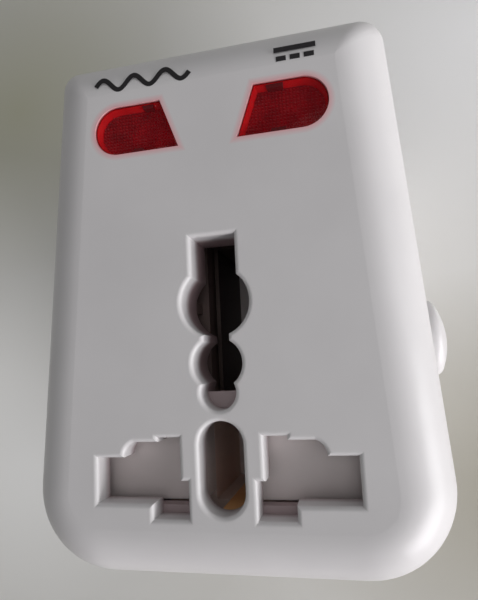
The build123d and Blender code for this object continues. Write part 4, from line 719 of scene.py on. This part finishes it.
wave = []
for step in range(WAVE_STEPS + 1):
    share = step / WAVE_STEPS
    wave.append(
        (
            WAVE_X + (share - 0.5) * WAVE_LENGTH,
            MARK_Y + WAVE_HEIGHT * math.sin(2 * math.pi * WAVE_COUNT * share),
        )
    )
ink_stroke("wave_mark", wave)
ink_stroke(
    "bar_mark",
    [
        (BAR_X - BAR_LENGTH / 2, MARK_Y + BAR_RISE),
        (BAR_X + BAR_LENGTH / 2, MARK_Y + BAR_RISE),
    ],
)
for dash in range(DASHES):
    start = BAR_X + (dash - DASHES / 2 + DASH_START) * BAR_LENGTH / DASHES
    end = start + DASH_SHARE * BAR_LENGTH / DASHES
    ink_stroke("dash_mark_%d" % dash, [(start, MARK_Y - BAR_RISE), (end, MARK_Y - BAR_RISE)])

# The floor: painted pools of light and painted shade, each patch with its middle, its reach and
# its colour
FLOOR_SIZE = 3.0
FLOOR_GAP = 0.05 * MM
FLOOR_SCALE = 9
FLOOR_LIGHT_AND_SHADE_PATCHES = [
    ((0.045, 0.06, 0), 0.075, srgb(255, 255, 255)),
    ((-0.06, -0.03, 0), 0.05, srgb(236, 236, 234)),
    ((-0.066, 0.06, 0), 0.045, srgb(198, 197, 176)),
    ((0.042, -0.036, 0), 0.045, srgb(178, 174, 160)),
]
# A painted glow on the floor: its middle, its reach and its strength
FLOOR_GLOW_PLACE = (-0.08, -0.01, 0)
FLOOR_GLOW_REACH = 0.06
FLOOR_GLOW = 0.16


def how_far(tree, coords, place):
    """The distance from a place on the floor, in metres."""
    span = tree.nodes.new("ShaderNodeVectorMath")
    span.operation = "DISTANCE"
    tree.links.new(coords, span.inputs[0])
    span.inputs[1].default_value = place
    return span.outputs["Value"]


def make_floor():
    """Matt card, faintly uneven, with painted patches of light and shade and a painted glow."""
    made, tree, shader, coords = new_material("pale_floor", 0.75)
    cloud = noise(tree, coords, FLOOR_SCALE)
    tone = ramp(tree, cloud, srgb(212, 211, 205), srgb(218, 217, 212))
    # Painted light and painted shade, patch by patch
    for place, reach, colour in FLOOR_LIGHT_AND_SHADE_PATCHES:
        near = spread(tree, how_far(tree, coords, place), 1.0, 0.0, 0.0, reach)
        tone = mixed(tree, near, tone, colour)
    tree.links.new(tone, shader.inputs["Base Color"])
    # Painted glow: the floor gives off light near one place, though it is no lamp
    far = how_far(tree, coords, FLOOR_GLOW_PLACE)
    shader.inputs["Emission Color"].default_value = (1, 1, 1, 1)
    lit = spread(tree, far, FLOOR_GLOW, 0.0, 0.0, FLOOR_GLOW_REACH)
    tree.links.new(lit, shader.inputs["Emission Strength"])
    bm = bmesh.new()
    bmesh.ops.create_grid(bm, x_segments=1, y_segments=1, size=FLOOR_SIZE / 2)
    bmesh.ops.translate(bm, verts=bm.verts, vec=(0, 0, cad_low.z - FLOOR_GAP))
    floor = finish_mesh("floor", bm, made)


def area_light(name, place, target, size, power, colour):
    """A soft square lamp that faces a point."""
    data = bpy.data.lights.new(name, "AREA")
    data.shape = "SQUARE"
    data.size = size
    data.energy = power
    data.color = colour
    lamp = bpy.data.objects.new(name, data)
    bpy.context.scene.collection.objects.link(lamp)
    lamp.location = place
    lamp.rotation_euler = (Vector(target) - Vector(place)).to_track_quat("-Z", "Y").to_euler()


make_floor()

# Lamps, which face the object's middle: their place, size, power and colour
PLAIN_WHITE = (1, 1, 1)
WARM_PINK = (1.0, 0.965, 0.99)
LIGHTS = [
    ("window_light", (0.45, -0.45, 0.20), 0.35, 2.75, WARM_PINK),
    ("side_light", (0.62, -0.16, 0.14), 0.35, 2.0, PLAIN_WHITE),
    ("raised_light", (0.60, 0.05, 0.42), 0.40, 0.4, PLAIN_WHITE),
    ("upper_light", (0.40, 0.45, 0.30), 0.40, 0.25, PLAIN_WHITE),
    ("overhead_light", (0.10, 0.05, 0.80), 0.50, 0.5, PLAIN_WHITE),
]
WORLD_STRENGTH = 0.2
for name, place, size, power, colour in LIGHTS:
    area_light(name, place, (cad_low + cad_high) / 2, size, power, colour)

world = bpy.data.worlds.new("studio")
bpy.context.scene.world = world
world.use_nodes = True
sky = world.node_tree.nodes["Background"]
sky.inputs["Color"].default_value = (1, 1, 1, 1)
sky.inputs["Strength"].default_value = WORLD_STRENGTH

# Camera, from the photograph's perspective
CAMERA_PLACE = Vector((14.91, -7.87, 108.61)) * MM
CAMERA_RIGHT = Vector((0.973, -0.049, -0.225))
CAMERA_VIEW = Vector((-0.217, 0.122, -0.968))
CAMERA_LENS = 30.0
CAMERA_SENSOR = 36.0
CAMERA_NEAR = 5 * MM
camera_data = bpy.data.cameras.new("camera")
camera_data.sensor_width = CAMERA_SENSOR
camera_data.lens = CAMERA_LENS
camera_data.clip_start = CAMERA_NEAR
camera = bpy.data.objects.new("camera", camera_data)
bpy.context.scene.collection.objects.link(camera)
back = -CAMERA_VIEW.normalized()
up = back.cross(CAMERA_RIGHT).normalized()
right = up.cross(back)
facing = Matrix((right, up, back)).transposed().to_4x4()
camera.matrix_world = Matrix.Translation(CAMERA_PLACE) @ facing
bpy.context.scene.camera = camera
bpy.context.scene.view_settings.view_transform = "Standard"
